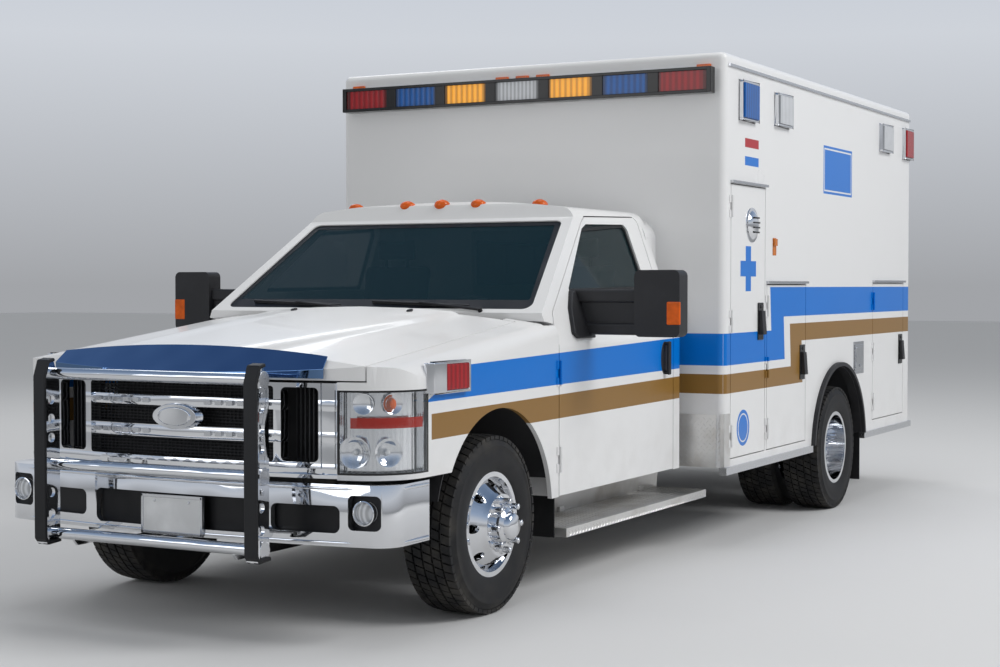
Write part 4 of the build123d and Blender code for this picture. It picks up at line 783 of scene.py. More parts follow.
class AMBULANCE_OT_front(bpy.types.Operator):
    """The grille's mesh, the guard's rubber faces, the plate, the lamps' insides and the bumper's lips"""
    bl_idname = "ambulance.front"
    bl_label = "Front end"

    def execute(self, context):
        self.guard()
        self.mesh_screen()
        self.boss()
        self.number_plate()
        self.fog_lamps()
        self.headlamp_insides()
        self.bumper_backs()
        self.bumper_rolls()
        return {"FINISHED"}

    def guard(self):
        rubber, bolts = bmesh.new(), bmesh.new()
        for side in (-1, 1):
            plate(rubber, GUARD_OUTLINE, 1, side * 0.54 - 0.031, side * 0.54 + 0.031)
            for z in (0.42, 0.62, 0.83, 1.0):
                rod(bolts, (3.60, side * 0.551, z), (3.60, side * 0.557, z), 0.013, 0.011, 6)
            for z in (0.39, 0.68, 1.06):
                rod(bolts, (3.588, side * 0.547, z), (3.588, side * 0.556, z), 0.034, 0.034, 28)
        piece("guard_rubber", rubber, "seal", 0.005)
        piece("guard_bolts", bolts, "stainless", 0.001)

    def mesh_screen(self):
        """The dark screen behind the bars: crossed thin slats."""
        bm = bmesh.new()
        for index in range(24):
            z = 0.72 + index * 0.013
            block(bm, (3.353, -0.49, z), (3.361, 0.49, z + 0.004))
        for index in range(48):
            y = -0.48 + index * 0.0203
            block(bm, (3.349, y, 0.715), (3.354, y + 0.004, 1.03))
        for side in (-1, 1):
            for index in range(8):
                y = side * 0.59 + (index - 3.5) * 0.021
                block(bm, (3.29, y - 0.003, 0.722), (3.315, y + 0.003, 1.025))
        piece("grille_screen", bm, "black")
        bm = bmesh.new()
        for z in (0.824, 0.951):
            for index in range(6):
                for side in (-1, 1):
                    y = side * (0.16 + index * 0.055)
                    x = 3.4395 - y * y * 0.06
                    block(bm, (x - 0.012, y - 0.016, z - 0.010), (x + 0.003, y + 0.016, z + 0.010))
        piece("grille_bar_insets", bm, "stainless", 0.002)

    def boss(self):
        """The plain oval where a badge would sit."""
        bm = bmesh.new()
        rod(bm, (3.425, 0, 0.888), (3.452, 0, 0.888), 0.058, 0.050, 48)
        rod(bm, (3.450, 0, 0.888), (3.4555, 0, 0.888), 0.040, 0.036, 48)
        bmesh.ops.scale(bm, vec=(1, 2.25, 1), verts=bm.verts)
        piece("grille_boss", bm, "chrome", 0.003)

    def number_plate(self):
        blank_plate("plate_blank", (3.466, 3.4705), (0.407, 0.559))
        bm = bmesh.new()
        for y_low, y_high, z_low, z_high in ((-0.158, 0.158, 0.553, 0.564), (-0.158, 0.158, 0.402, 0.413),
                                             (-0.158, -0.148, 0.402, 0.564), (0.148, 0.158, 0.402, 0.564)):
            block(bm, (3.464, y_low, z_low), (3.474, y_high, z_high))
        for y in (-0.089, 0.089):
            rod(bm, (3.4695, y, 0.538), (3.4735, y, 0.538), 0.007, 0.005, 16)
        piece("plate_frame", bm, "stainless", 0.0015)

    def fog_lamps(self):
        """Rims, lenses and rounded dark pockets for the lamps in the bumper."""
        rims, glasses, pockets = bmesh.new(), bmesh.new(), bmesh.new()
        for side in (-1, 1):
            centre = (3.406 - FOG_LAMP_SET_BACK, side * 0.888, 0.535)
            turned(rims, [(-0.02, 0.042), (0.012, 0.050), (0.014, 0.046), (0.004, 0.040), (-0.02, 0.040)],
                   centre, (1, 0, 0), 36, (0, 1, 0), True)
            turned(glasses, [(-0.004, 0.041), (0.004, 0.034), (0.009, 0.018), (0.011, 0.0)],
                   centre, (1, 0, 0), 36, (0, 1, 0))
            upright = Matrix.Rotation(math.pi / 2, 4, "Y") @ Matrix.Diagonal((0.0695, 0.0675, 1, 1))
            bmesh.ops.create_grid(pockets, x_segments=1, y_segments=1, size=1.0,
                                  matrix=Matrix.Translation((3.3575, side * 0.888, 0.535)) @ upright)
        bmesh.ops.bevel(pockets, geom=pockets.verts[:], offset=0.022, segments=5, profile=0.5, affect="VERTICES",
                        material=-1)
        walls = bmesh.ops.extrude_edge_only(pockets, edges=[e for e in pockets.edges if e.is_boundary])["geom"]
        for v in walls:
            if isinstance(v, bmesh.types.BMVert):
                v.co.x = bumper_face(v.co.y) - max(0.0, abs(v.co.y) - 0.905) * 0.19
        piece("fog_lamp_rims", rims, "chrome")
        piece("fog_lamp_pockets", pockets, "black")
        piece("fog_lamp_glasses", glasses, "clear")

    def headlamp_insides(self):
        """Bowls and bulbs behind the headlamps' covers."""
        bowls, bulbs, orange = bmesh.new(), bmesh.new(), bmesh.new()

        def facing(turn, side):
            return Vector((math.cos(math.radians(turn)), side * math.sin(math.radians(turn)), 0))

        for side in (-1, 1):
            for x, y, z, turn, radius in BEAM_BOWLS:
                out = facing(turn, side)
                centre = Vector((x, side * y, z)) - out * 0.008
                turned(bowls, [(-0.002, radius + 0.006), (-0.003, radius), (-0.012, radius * 0.82),
                               (-0.020, radius * 0.55), (-0.024, radius * 0.25), (-0.025, 0.0)],
                       centre, out, 40, (0, 0, 1))
                ball(bulbs, centre - out * 0.016, 0.011)
            for x, y, z, turn in SMALL_BOWLS:
                out = facing(turn, side)
                centre = Vector((x, side * y, z)) - out * 0.014
                if turn > 50:
                    ball(orange, centre, 0.021, (0.6, 0.6, 1.0))
                turned(bowls, [(0.004, 0.042), (0.002, 0.037), (-0.010, 0.026), (-0.014, 0.0)],
                       centre - out * 0.006, out, 32, (0, 0, 1))
        piece("headlamp_bowls", bowls, "chrome", slot="clear_lens", angle=40.0, recalculate=False)
        piece("headlamp_bulbs", bulbs, "plate", slot="clear_lens")
        piece("turn_bulbs", orange, "orange")

    def bumper_backs(self):
        """Dark panels behind the bumper's openings."""
        bm = bmesh.new()
        for low, high in ((-0.8, -0.47), (-0.42, 0.42), (0.47, 0.8)):
            steps = [low + (high - low) * i / 8 for i in range(9)]
            front = [(bumper_face(y) - 0.0355, y) for y in steps]
            plate(bm, front + [(x - 0.005, y) for x, y in reversed(front)], 2, 0.428, 0.580)
        piece("bumper_backs", bm, "edge", 0.001)

    def bumper_rolls(self):
        """Rolled lips along the bumper's upper and lower edges."""
        corner = [(3.10, -1.003), (3.25, -1.003), (3.345, -0.985)]
        spots = corner + [(bumper_face(y), y) for y in (-0.86, -0.6, -0.3, 0.0, 0.3, 0.6, 0.86)]
        spots += [(x, -y) for x, y in reversed(corner)]
        for name, z in (("upper", 0.628), ("lower", 0.414)):
            line = bpy.data.curves.new(f"bumper_roll_{name}", "CURVE")
            line.dimensions, line.bevel_depth, line.bevel_resolution, line.resolution_u = "3D", 0.0085, 3, 6
            path = line.splines.new("NURBS")
            path.points.add(len(spots) - 1)
            for point, (x, y) in zip(path.points, spots):
                point.co = (x - 0.003, y, z, 1.0)
            path.order_u, path.use_endpoint_u = 3, True
            shape = bpy.data.objects.new("roll", line)
            mesh = bpy.data.meshes.new_from_object(shape)
            bm = bmesh.new()
            bm.from_mesh(mesh)
            bpy.data.objects.remove(shape)
            bpy.data.meshes.remove(mesh)
            piece(f"bumper_roll_{name}", bm, "chrome", angle=60.0)


# Lamps on the module and the fenders

# Each lamp's place along or across the vehicle, with half its width and height
WALL_LAMPS = ((0.010, 0.115, 0.095), (-0.570, 0.115, 0.080), (-2.720, 0.115, 0.080), (-3.280, 0.090, 0.095))
REAR_LAMPS = ((0.91, 2.45, 0.11, 0.07), (0.53, 2.45, 0.11, 0.05), (0.91, 0.68, 0.05, 0.08), (1.04, 0.68, 0.05, 0.08),
              (0.78, 0.68, 0.05, 0.08))
WALL_LAMP_Z = 2.44
BAR_LOW, BAR_HIGH = 2.465, 2.586


class AMBULANCE_OT_lamps(bpy.types.Operator):
    """Bright frames round the wall lamps, and the light bar's body and dividers"""
    bl_idname = "ambulance.lamps"
    bl_label = "Lamps"

    def execute(self, context):
        walls, rear, fenders = bmesh.new(), bmesh.new(), bmesh.new()
        for side in (-1, 1):
            for x, half_x, half_z in WALL_LAMPS:
                frame_round(walls, (x, side * MODULE_HALF, WALL_LAMP_Z), (half_x, 0, half_z), 1, side * 0.026, 0.014)
            for y, z, half_y, half_z in REAR_LAMPS:
                frame_round(rear, (MODULE_REAR, side * y, z), (0, half_y, half_z), 0, -0.022, 0.010)
            frame_round(fenders, (2.925, side * CAB_HALF, 1.053), (0.135, 0, 0.053), 1, side * 0.0235, 0.010)
            plate(fenders, [(3.100, side * 0.985), (3.099, side * 1.012), (3.086, side * 1.0295),
                            (2.985, side * 1.0305), (2.985, side * 0.985)], 2, 0.991, 1.115)
        frame_round(rear, (MODULE_REAR, 0, 2.45), (0, 0.11, 0.05), 0, -0.022, 0.010)
        piece("wall_lamp_frames", walls, "chrome", 0.004)
        piece("rear_lamp_frames", rear, "chrome", 0.003)
        self.light_bar()
        piece("fender_lamp_frames", fenders, "chrome", 0.004)
        return {"FINISHED"}

    def light_bar(self):
        bm = bmesh.new()
        for z in (BAR_LOW, BAR_HIGH):
            block(bm, (0.368, -1.158, z - 0.009), (0.427, 1.158, z + 0.009))
        for side in (-1, 1):
            for y in (0.833, 0.501, 0.169):
                block(bm, (0.366, side * y - 0.032, BAR_LOW), (0.424, side * y + 0.032, BAR_HIGH))
            end = side * 1.1565
            block(bm, (0.366, end - 0.0125, BAR_LOW - 0.009), (0.430, end + 0.0125, BAR_HIGH + 0.009))
        piece("light_bar_body", bm, "gloss_black", 0.003)


# Doors, sides and trim

# The body that a paddle latch rides on, its side, and its place along and up
WALL_LATCHES = (
    ("tall_locker_door", 1, -0.215, 1.225), ("middle_locker_door", 1, -0.955, 0.966),
    ("rear_locker_door", 1, -3.145, 0.975), ("right_locker_door", -1, -3.145, 0.975),
    ("entry_door", -1, -0.70, 1.22),
)


class AMBULANCE_OT_latches(bpy.types.Operator):
    """Door handles: paddle latches on the module, pull handles on the cab doors, bars on the rear doors"""
    bl_idname = "ambulance.latches"
    bl_label = "Latches"

    def execute(self, context):
        for body, side, x, z in WALL_LATCHES:
            self.paddle(body, side, x, z)
        for side, name in SIDES:
            self.pull(f"cab_door_{name}", side)
            self.rear_latch(f"rear_door_{name}", side)
        return {"FINISHED"}

    def paddle(self, body, side, x, z):
        y = side * MODULE_HALF
        bm = bmesh.new()
        block(bm, (x - 0.045, y, z - 0.105), (x + 0.045, y + side * 0.006, z + 0.105))
        piece(f"latch_tray_{body}", bm, "gloss_black", 0.003, body)
        bm = bmesh.new()
        for v in block(bm, (x - 0.028, y + side * 0.004, z - 0.075), (x + 0.028, y + side * 0.022, z + 0.06)):
            if v.co.z < z and abs(v.co.y - y) > 0.01:
                v.co.y += side * 0.010
        rod(bm, (x, y + side * 0.004, z + 0.083), (x, y + side * 0.011, z + 0.083), 0.011, 0.010, 20)
        piece(f"latch_paddle_{body}", bm, "black", 0.005, body)

    def pull(self, body, side):
        """An upright bar over an oval cup."""
        x, y, z = 0.645, side * CAB_HALF, 1.045
        bm = bmesh.new()
        turned(bm, [(0.0, 0.058), (0.003, 0.056), (0.003, 0.047), (0.0012, 0.0)], (x, y, z), (0, side, 0), 36)
        bmesh.ops.scale(bm, vec=(0.85, 1, 1.5), verts=bm.verts, space=Matrix.Translation((-x, -y, -z)))
        piece(f"handle_cup_{body}", bm, "black", 0.0, body)
        bm = bmesh.new()
        block(bm, (x - 0.017, y + side * 0.018, z - 0.088), (x + 0.017, y + side * 0.034, z + 0.088))
        for end in (-0.076, 0.076):
            block(bm, (x - 0.014, y, z + end - 0.01), (x + 0.014, y + side * 0.026, z + end + 0.01))
        piece(f"handle_{body}", bm, "black", 0.007, body)

    def rear_latch(self, body, side):
        x = MODULE_REAR
        bm = bmesh.new()
        block(bm, (x - 0.008, side * 0.055, 1.21), (x, side * 0.145, 1.44))
        piece(f"rear_latch_tray_{body}", bm, "gloss_black", 0.003, body)
        bm = bmesh.new()
        block(bm, (x - 0.030, side * 0.072, 1.24), (x - 0.010, side * 0.128, 1.38))
        for y, z in ((0.20, 0.98), (0.066, 1.72)):
            rod(bm, (x - 0.030, side * y, z - 0.16), (x - 0.030, side * y, z + 0.16), 0.0125)
            for end in (-0.15, 0.15):
                rod(bm, (x - 0.032, side * y, z + end), (x, side * y, z + end), 0.010)
        piece(f"rear_latch_{body}", bm, "chrome", 0.004, body)


RIM_WIDTH = 0.022


class AMBULANCE_OT_side_trim(bpy.types.Operator):
    """Vent, tag, filler door, corner guards, window rubbers, the trim over the rear step and the washer jets"""
    bl_idname = "ambulance.side_trim"
    bl_label = "Side trim"

    def execute(self, context):
        self.vent()
        self.filler()
        self.corner_guards()
        for name in ("right", "left"):
            self.window_rim(f"rear_window_rim_{name}", f"rear_glass_{name}", f"rear_door_{name}", 0, MODULE_REAR)
        self.window_rim("entry_window_rim", "entry_glass", "entry_door", 1, -MODULE_HALF)
        self.rear_trim()
        self.washer_jets()
        return {"FINISHED"}

    def vent(self):
        """The tall door's slotted round vent and the amber tag behind it."""
        x, y, z = -0.076, MODULE_HALF, 1.763
        bm = bmesh.new()
        turned(bm, [(0.0, 0.098), (0.004, 0.096), (0.006, 0.080), (0.014, 0.072), (0.026, 0.052), (0.031, 0.0)],
               (x, y, z), sides=40)
        piece("locker_vent", bm, "chrome", 0.0, "tall_locker_door")
        bm = bmesh.new()
        for index in range(4):
            low = z - 0.045 + index * 0.027
            half = 0.052 - abs(index - 1.5) * 0.008
            block(bm, (x - half, y + 0.008, low), (x + half, y + 0.0325, low + 0.009))
        piece("locker_vent_slots", bm, "gloss_black", 0.002, "tall_locker_door")
        bm = bmesh.new()
        block(bm, (-0.48, y, 1.60), (-0.42, y + 0.002, 1.70))
        block(bm, (-0.475, y + 0.002, 1.655), (-0.425, y + 0.012, 1.695))
        piece("oxygen_tag", bm, "amber", 0.001)

    def filler(self):
        bm = bmesh.new()
        x, y, z = -2.124, MODULE_HALF + 0.004, 0.95
        block(bm, (x - 0.094, y, z - 0.086), (x + 0.094, y + 0.005, z + 0.086))
        block(bm, (x - 0.078, y + 0.004, z - 0.070), (x + 0.078, y + 0.009, z + 0.070))
        block(bm, (x - 0.012, y + 0.008, z - 0.062), (x + 0.012, y + 0.016, z - 0.044))
        for end in (-0.05, 0.05):
            rod(bm, (x + 0.084, y + 0.007, z + end - 0.018), (x + 0.084, y + 0.007, z + end + 0.018), 0.005)
        piece("filler_door", bm, "stainless", 0.002)

    def corner_guards(self):
        """Bright sheet round the module's lower front corners, with its raised bars."""
        bm = bmesh.new()
        face = 0.3495
        for side in (-1, 1):
            block(bm, (0.26, side * (MODULE_HALF + 0.0035), 0.45), (face, side * 1.2, 0.735))
        lozenges(bm, [((face, side * y, z), (1, 0, 0), (0, 1, 0)) for side in (-1, 1)
                      for y, z in lattice(0.89, 1.215, 0.455, 0.728)])
        piece("corner_guards", bm, "tread")

    def window_rim(self, name, pane, body, flat, face):
        """Four rubber bars round a window's pane, on the outside of its door."""
        corners = list(zip(*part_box(pane)))
        centre = [face if axis == flat else (low + high) / 2 for axis, (low, high) in enumerate(corners)]
        half = [(high - low - RIM_WIDTH) / 2 for low, high in corners]
        bm = bmesh.new()
        frame_round(bm, centre, half, flat, -0.007, RIM_WIDTH)
        piece(name, bm, "seal", 0.003, body)

    def rear_trim(self):
        """Tread plate and a blank number plate over the rear step, with rubber blocks at the step's edge."""
        face = MODULE_REAR - 0.003
        bm = bmesh.new()
        block(bm, (face, -0.62, 0.505), (MODULE_REAR, 0.62, 0.78))
        lozenges(bm, [((face, y, z), (-1, 0, 0), (0, 1, 0)) for y, z in lattice(-0.61, 0.61, 0.515, 0.775)])
        piece("rear_kick_plate", bm, "tread")
        bm = bmesh.new()
        for y in (-0.85, 0.85):
            block(bm, (-3.646, y - 0.05, 0.445), (-3.640, y + 0.05, 0.50))
            for v in block(bm, (-3.64, y - 0.045, 0.50), (-3.56, y + 0.045, 0.512)):
                if v.co.z > 0.505:
                    v.co.y += (y - v.co.y) * 0.12
        piece("rear_step_rubbers", bm, "seal", 0.003)
        blank_plate("rear_plate_blank", (face - 0.005, face), (0.585, 0.737))

    def washer_jets(self):
        """Two small nozzles near the hood's rear edge."""
        bm = bmesh.new()
        for y in (-0.33, 0.33):
            ball(bm, (2.13, y, 1.3075), 0.016, (1.2, 0.8, 0.55))
            block(bm, (2.108, y - 0.006, 1.306), (2.122, y + 0.006, 1.3175))
        piece("washer_jets", bm, "black", 0.001, "hood")


# The raised bars of tread plate: the step between them, their half length, half width and height
TREAD_STEP = 0.034
LOZENGE_LONG, LOZENGE_WIDE, LOZENGE_HIGH = 0.0115, 0.0032, 0.0016


def lattice(low_u, high_u, low_v, high_v):
    """Staggered places over a rectangle."""
    places = []
    row = 0
    v = low_v + TREAD_STEP * 0.4
    while v < high_v - TREAD_STEP * 0.25:
        u = low_u + TREAD_STEP * (0.9 if row % 2 else 0.4)
        while u < high_u - TREAD_STEP * 0.25:
            places.append((u, v))
            u += TREAD_STEP
        v += TREAD_STEP / 2
        row += 1
    return places


def lozenges(bm, places):
    """A raised bar at each place, given with its outward and sideways directions."""
    for place in places:
        centre, out, side = (Vector(part) for part in place)
        other = out.cross(side)
        way = 1 if round(centre.dot(other) / (TREAD_STEP / 2)) % 2 else -1
        along = (side + other * way).normalized()
        long, wide = along * LOZENGE_LONG, out.cross(along) * LOZENGE_WIDE
        ring = [centre + long, centre + wide, centre - long, centre - wide]
        base = [bm.verts.new(corner) for corner in ring]
        top = [bm.verts.new(centre + (corner - centre) * 0.45 + out * LOZENGE_HIGH) for corner in ring]
        bm.faces.new(top)
        for i in range(4):
            bm.faces.new((base[i - 1], base[i], top[i], top[i - 1]))


BOARD_TOP = 0.29


class AMBULANCE_OT_treads(bpy.types.Operator):
    """The raised bars on the running boards and the rear step"""
    bl_idname = "ambulance.treads"
    bl_label = "Tread bars"

    def execute(self, context):
        bm = bmesh.new()
        places = [((x, side * y, BOARD_TOP), (0, 0, 1), (1, 0, 0)) for side in (-1, 1)
                  for x, y in lattice(0.07, 1.82, 0.70, 0.995)]
        places += [((x, side * 1.005, z), (0, side, 0), (1, 0, 0)) for side in (-1, 1)
                   for x, z in lattice(0.07, 1.82, BOARD_TOP - 0.05, BOARD_TOP - 0.004)]
        places += [((x, y, 0.5), (0, 0, 1), (1, 0, 0)) for x, y in lattice(-3.64, -3.41, -1.07, 1.07)]
        lozenges(bm, places)
        piece("tread_bars", bm, "tread")
        return {"FINISHED"}


# The parts of a mirror, with their blocks: the ends of each along, outward and up
MIRROR_PARTS = (
    ("glass", "mirror", 0.002, (((1.505, 1.512), (1.275, 1.455), (1.29, 1.475)),
                                ((1.505, 1.512), (1.275, 1.455), (1.21, 1.275)))),
    ("lamp", "orange", 0.006, (((1.5975, 1.6135), (1.415, 1.483), (1.243, 1.352)),)),
    ("arms", "black", 0.012, (((1.541, 1.590), (0.965, 1.255), (1.192, 1.248)),
                              ((1.541, 1.590), (0.915, 1.255), (1.346, 1.408)),
                              ((1.552, 1.576), (0.95, 1.255), (1.235, 1.36)))),
)
MIRROR_SAIL = ((1.515, 1.175), (1.70, 1.175), (1.735, 1.20), (1.690, 1.322), (1.622, 1.405), (1.515, 1.405))


def door_plate(name, outline, side, y, finish, bevel):
    """A plate drawn upright and laid onto a cab door, which leans inward over the belt line."""
    bm = bmesh.new()
    plate(bm, outline, 1, side * y[0], side * y[1])
    for v in bm.verts:
        v.co.y += side * (CAB_HALF - max(0.0, v.co.z - BELT_Z) * DOOR_LEAN)
    door = "left" if side > 0 else "right"
    piece(f"{name}_{door}", bm, finish, bevel, f"cab_door_{door}")


class AMBULANCE_OT_mirrors(bpy.types.Operator):
    """Mirror glasses, their amber lamps, the arms' covers and the sails that they stand on"""
    bl_idname = "ambulance.mirrors"
    bl_label = "Mirrors"

    def execute(self, context):
        for side, name in SIDES:
            for part, finish, bevel, blocks in MIRROR_PARTS:
                bm = bmesh.new()
                for x, y, z in blocks:
                    block(bm, (x[0], side * y[0], z[0]), (x[1], side * y[1], z[1]))
                piece(f"mirror_{part}_{name}", bm, finish, bevel, f"cab_door_{name}")
            door_plate("mirror_sail", MIRROR_SAIL, side, (-0.004, 0.022), "black", 0.009)
        return {"FINISHED"}


class AMBULANCE_OT_cowl(bpy.types.Operator):
    """The black cowl under the windshield and the wipers"""
    bl_idname = "ambulance.cowl"
    bl_label = "Cowl and wipers"

    def execute(self, context):
        bm = bmesh.new()
        plate(bm, [(1.944, 1.296), (1.962, 1.276), (1.988, 1.262), (1.990, 1.250), (1.960, 1.252), (1.936, 1.280)],
              1, -0.80, 0.80)
        piece("cowl_panel", bm, "black", 0.003)
        bm = bmesh.new()
        away = Vector((UP_GLASS.z, 0, -UP_GLASS.x))
        for pivot_y, length in ((0.62, 0.56), (-0.10, 0.54)):
            foot = GLASS_BASE + Vector((-0.012, pivot_y, 0.002)) + away * 0.016
            rod(bm, foot - away * 0.03, foot + away * 0.010, 0.011)
            tip = foot + Vector((0, -0.36, 0)) + UP_GLASS * 0.055
            rod(bm, foot, tip, 0.008, 0.005, 12)
            blade, half = tip - away * 0.010, Vector((0, length / 2, 0))
            rod(bm, blade - half + UP_GLASS * 0.02, blade + half - UP_GLASS * 0.012, 0.006, sides=8)
        piece("wipers", bm, "black", 0.001)
        return {"FINISHED"}


class AMBULANCE_OT_glazing(bpy.types.Operator):
    """Black borders round the windshield and the cab windows, with the rubber strips under them"""
    bl_idname = "ambulance.glazing"
    bl_label = "Glazing"

    def execute(self, context):
        bm = pane_border("windshield", (0.577, 0, 0.817), 0.036, 0.0012, foot=1.36)
        piece("windshield_border", bm, "edge")
        for side, name in SIDES:
            bm = pane_border(f"cab_glass_{name}", (0, side * 0.943, 0.333), 0.017, 0.007, flat=20.0)
            piece(f"cab_window_rubber_{name}", bm, "seal", 0.002, f"cab_door_{name}")
            outline = ((0.655, 1.378), (1.60, 1.378), (1.60, 1.398), (0.655, 1.398))
            door_plate("belt_strip", outline, side, (0.0, 0.008), "seal", 0.002)
        return {"FINISHED"}


def pane_border(node, out, width, lift, flat=0.0, foot=0.0):
    """A raised ring round the outside face of a pane, wider where it lies under a height."""
    out = Vector(out)
    bm = copied(node, 1e-4, 1.5)
    face = max((f for f in bm.faces if f.normal.dot(out) > 0.5), key=lambda f: f.calc_area())
    bmesh.ops.delete(bm, geom=[f for f in bm.faces if f is not face], context="FACES")
    if flat:
        bmesh.ops.dissolve_limit(bm, angle_limit=math.radians(flat), verts=bm.verts, edges=bm.edges)
    face = bm.faces[:][0]
    bmesh.ops.inset_region(bm, faces=[face], thickness=width, use_even_offset=True, use_boundary=True)
    inner = face.verts[:]
    bmesh.ops.delete(bm, geom=[face], context="FACES_ONLY")
    bmesh.ops.translate(bm, verts=bm.verts, vec=out.normalized() * 0.0004)
    for v in inner:
        if v.co.z < foot:
            v.co += UP_GLASS * 0.045
    drawn_out(bm, bm.faces[:], out.normalized() * lift)
    return bm


# Inside the cab

def settle(made):
    """Makes what a piece's modifiers give its own mesh."""
    graph = bpy.context.evaluated_depsgraph_get()
    mesh = bpy.data.meshes.new_from_object(made.evaluated_get(graph))
    made.modifiers.clear()
    old, made.data = made.data, mesh
    mesh.name = made.name
    bpy.data.meshes.remove(old)


CLOTH_FRAMES = 20


def cushion_form(low, high, soft, lean=0.0, pinch=0.10):
    """A block with soft edges whose sides pull in between its corners, leaning back from its foot."""
    bm = bmesh.new()
    block(bm, low, high)
    soft_corners(bm, bm.edges[:], soft, 3)
    low, high = Vector(low), Vector(high)
    middle, half = (low + high) / 2, (high - low) / 2
    thin = min(range(3), key=lambda i: half[i])
    wide = [i for i in range(3) if i != thin]
    bmesh.ops.subdivide_edges(bm, edges=bm.edges, cuts=3, use_grid_fill=True)
    for v in bm.verts:
        u = [(v.co[i] - middle[i]) / half[i] for i in range(3)]
        for i, other in (wide, wide[::-1]):
            if abs(u[i]) > 0.7:
                v.co[i] -= math.copysign(half[thin] * pinch * (1 - u[other] ** 2), u[i])
        v.co.x -= (v.co.z - low.z) * math.tan(lean)
    return bm


def pad(name, bm, finish, voxel=0.009, cap=0.011, seams=None):
    """A stuffed cushion: remeshed, blown up a little as cloth, and drawn in along its seams."""
    made = placed(name, mesh_of(bm, name))
    remesh = made.modifiers.new("Remesh", "REMESH")
    remesh.mode, remesh.voxel_size = "VOXEL", voxel * 1.0
    settle(made)
    scene = bpy.context.scene
    rest = [v.co.copy() for v in made.data.vertices]
    cloth = made.modifiers.new("Cloth", "CLOTH")
    cloth.settings.quality = 4
    cloth.settings.use_pressure = True
    cloth.settings.uniform_pressure_force = 4.0
    cloth.settings.effector_weights.gravity = 0.0
    cloth.point_cache.frame_start, cloth.point_cache.frame_end = 1, CLOTH_FRAMES
    for step in range(1, CLOTH_FRAMES + 1):
        scene.frame_set(step)
    settle(made)
    scene.frame_set(1)
    for v, start in zip(made.data.vertices, rest):
        shift = v.co - start
        if shift.length > cap:
            v.co = start + shift.normalized() * cap
    if seams:
        normals = [v.normal.copy() for v in made.data.vertices]
        for v, normal in zip(made.data.vertices, normals):
            v.co -= normal * seams(v.co)
    made.data.materials.append(LIBRARY[finish].material)
    made.data.shade_smooth()
    finer = made.modifiers.new("Subdivision", "SUBSURF")
    finer.levels = finer.render_levels = 1
    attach(made, "vehicle")
    return made


def groove(distance, depth=0.006, width=0.009):
    """How far a seam draws the surface in at a distance from its line."""
    return depth * math.exp(-(distance / width) ** 2)


BACK_LEAN = math.radians(11.9)


class AMBULANCE_OT_cab_seats(bpy.types.Operator):
    """The two cab seats: stuffed cushions with sewn channels on their pedestals"""
    bl_idname = "ambulance.cab_seats"
    bl_label = "Cab seats"

    def execute(self, context):
        for side, name in ((1, "driver"), (-1, "passenger")):
            mid = side * 0.565

            def form(x, half, z, soft, lean=0.0):
                return cushion_form((x[0], mid - half, z[0]), (x[1], mid + half, z[1]), soft, lean)

            def channels(half, axis, place):
                """A seam along either side of the middle, and one across between the two."""
                return lambda co: (groove(abs(abs(co.y - mid) - half))
                                   + groove(co[axis] - place) * (abs(co.y - mid) < half))

            pieces = [
                pad(f"seat_base_{name}", form((0.915, 1.352), 0.222, (0.935, 1.035), 0.035), "cloth",
                    seams=channels(0.135, 0, 1.25)),
                pad(f"seat_back_{name}", form((0.852, 0.935), 0.215, (0.96, 1.545), 0.035, BACK_LEAN), "cloth",
                    seams=channels(0.13, 2, 1.33)),
                pad(f"head_rest_{name}", form((0.769, 0.812), 0.118, (1.568, 1.682), 0.016), "cloth", 0.007, 0.006),
                self.pedestal(name, mid),
            ]
            for made in pieces:
                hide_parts("cab_seats")
        return {"FINISHED"}

    def pedestal(self, name, mid):
        bm = bmesh.new()
        for v in block(bm, (0.955, mid - 0.19, 0.73), (1.315, mid + 0.19, 0.925)):
            if v.co.z > 0.9:
                v.co.x += 0.02 if v.co.x > 1.1 else -0.01
        for y in (mid - 0.225, mid + 0.225):
            block(bm, (0.93, y - 0.008, 0.925), (1.30, y + 0.008, 0.985))
        for y in (mid - 0.07, mid + 0.07):
            rod(bm, (0.797, y, 1.50), (0.788, y, 1.60), 0.007)
        rod(bm, (1.17, mid - 0.235, 0.955), (1.10, mid - 0.238, 0.958), 0.011)
        return piece(f"seat_pedestal_{name}", bm, "black", 0.006)


AIR_VENTS = (-0.80, -0.28, 0.27, 0.80)


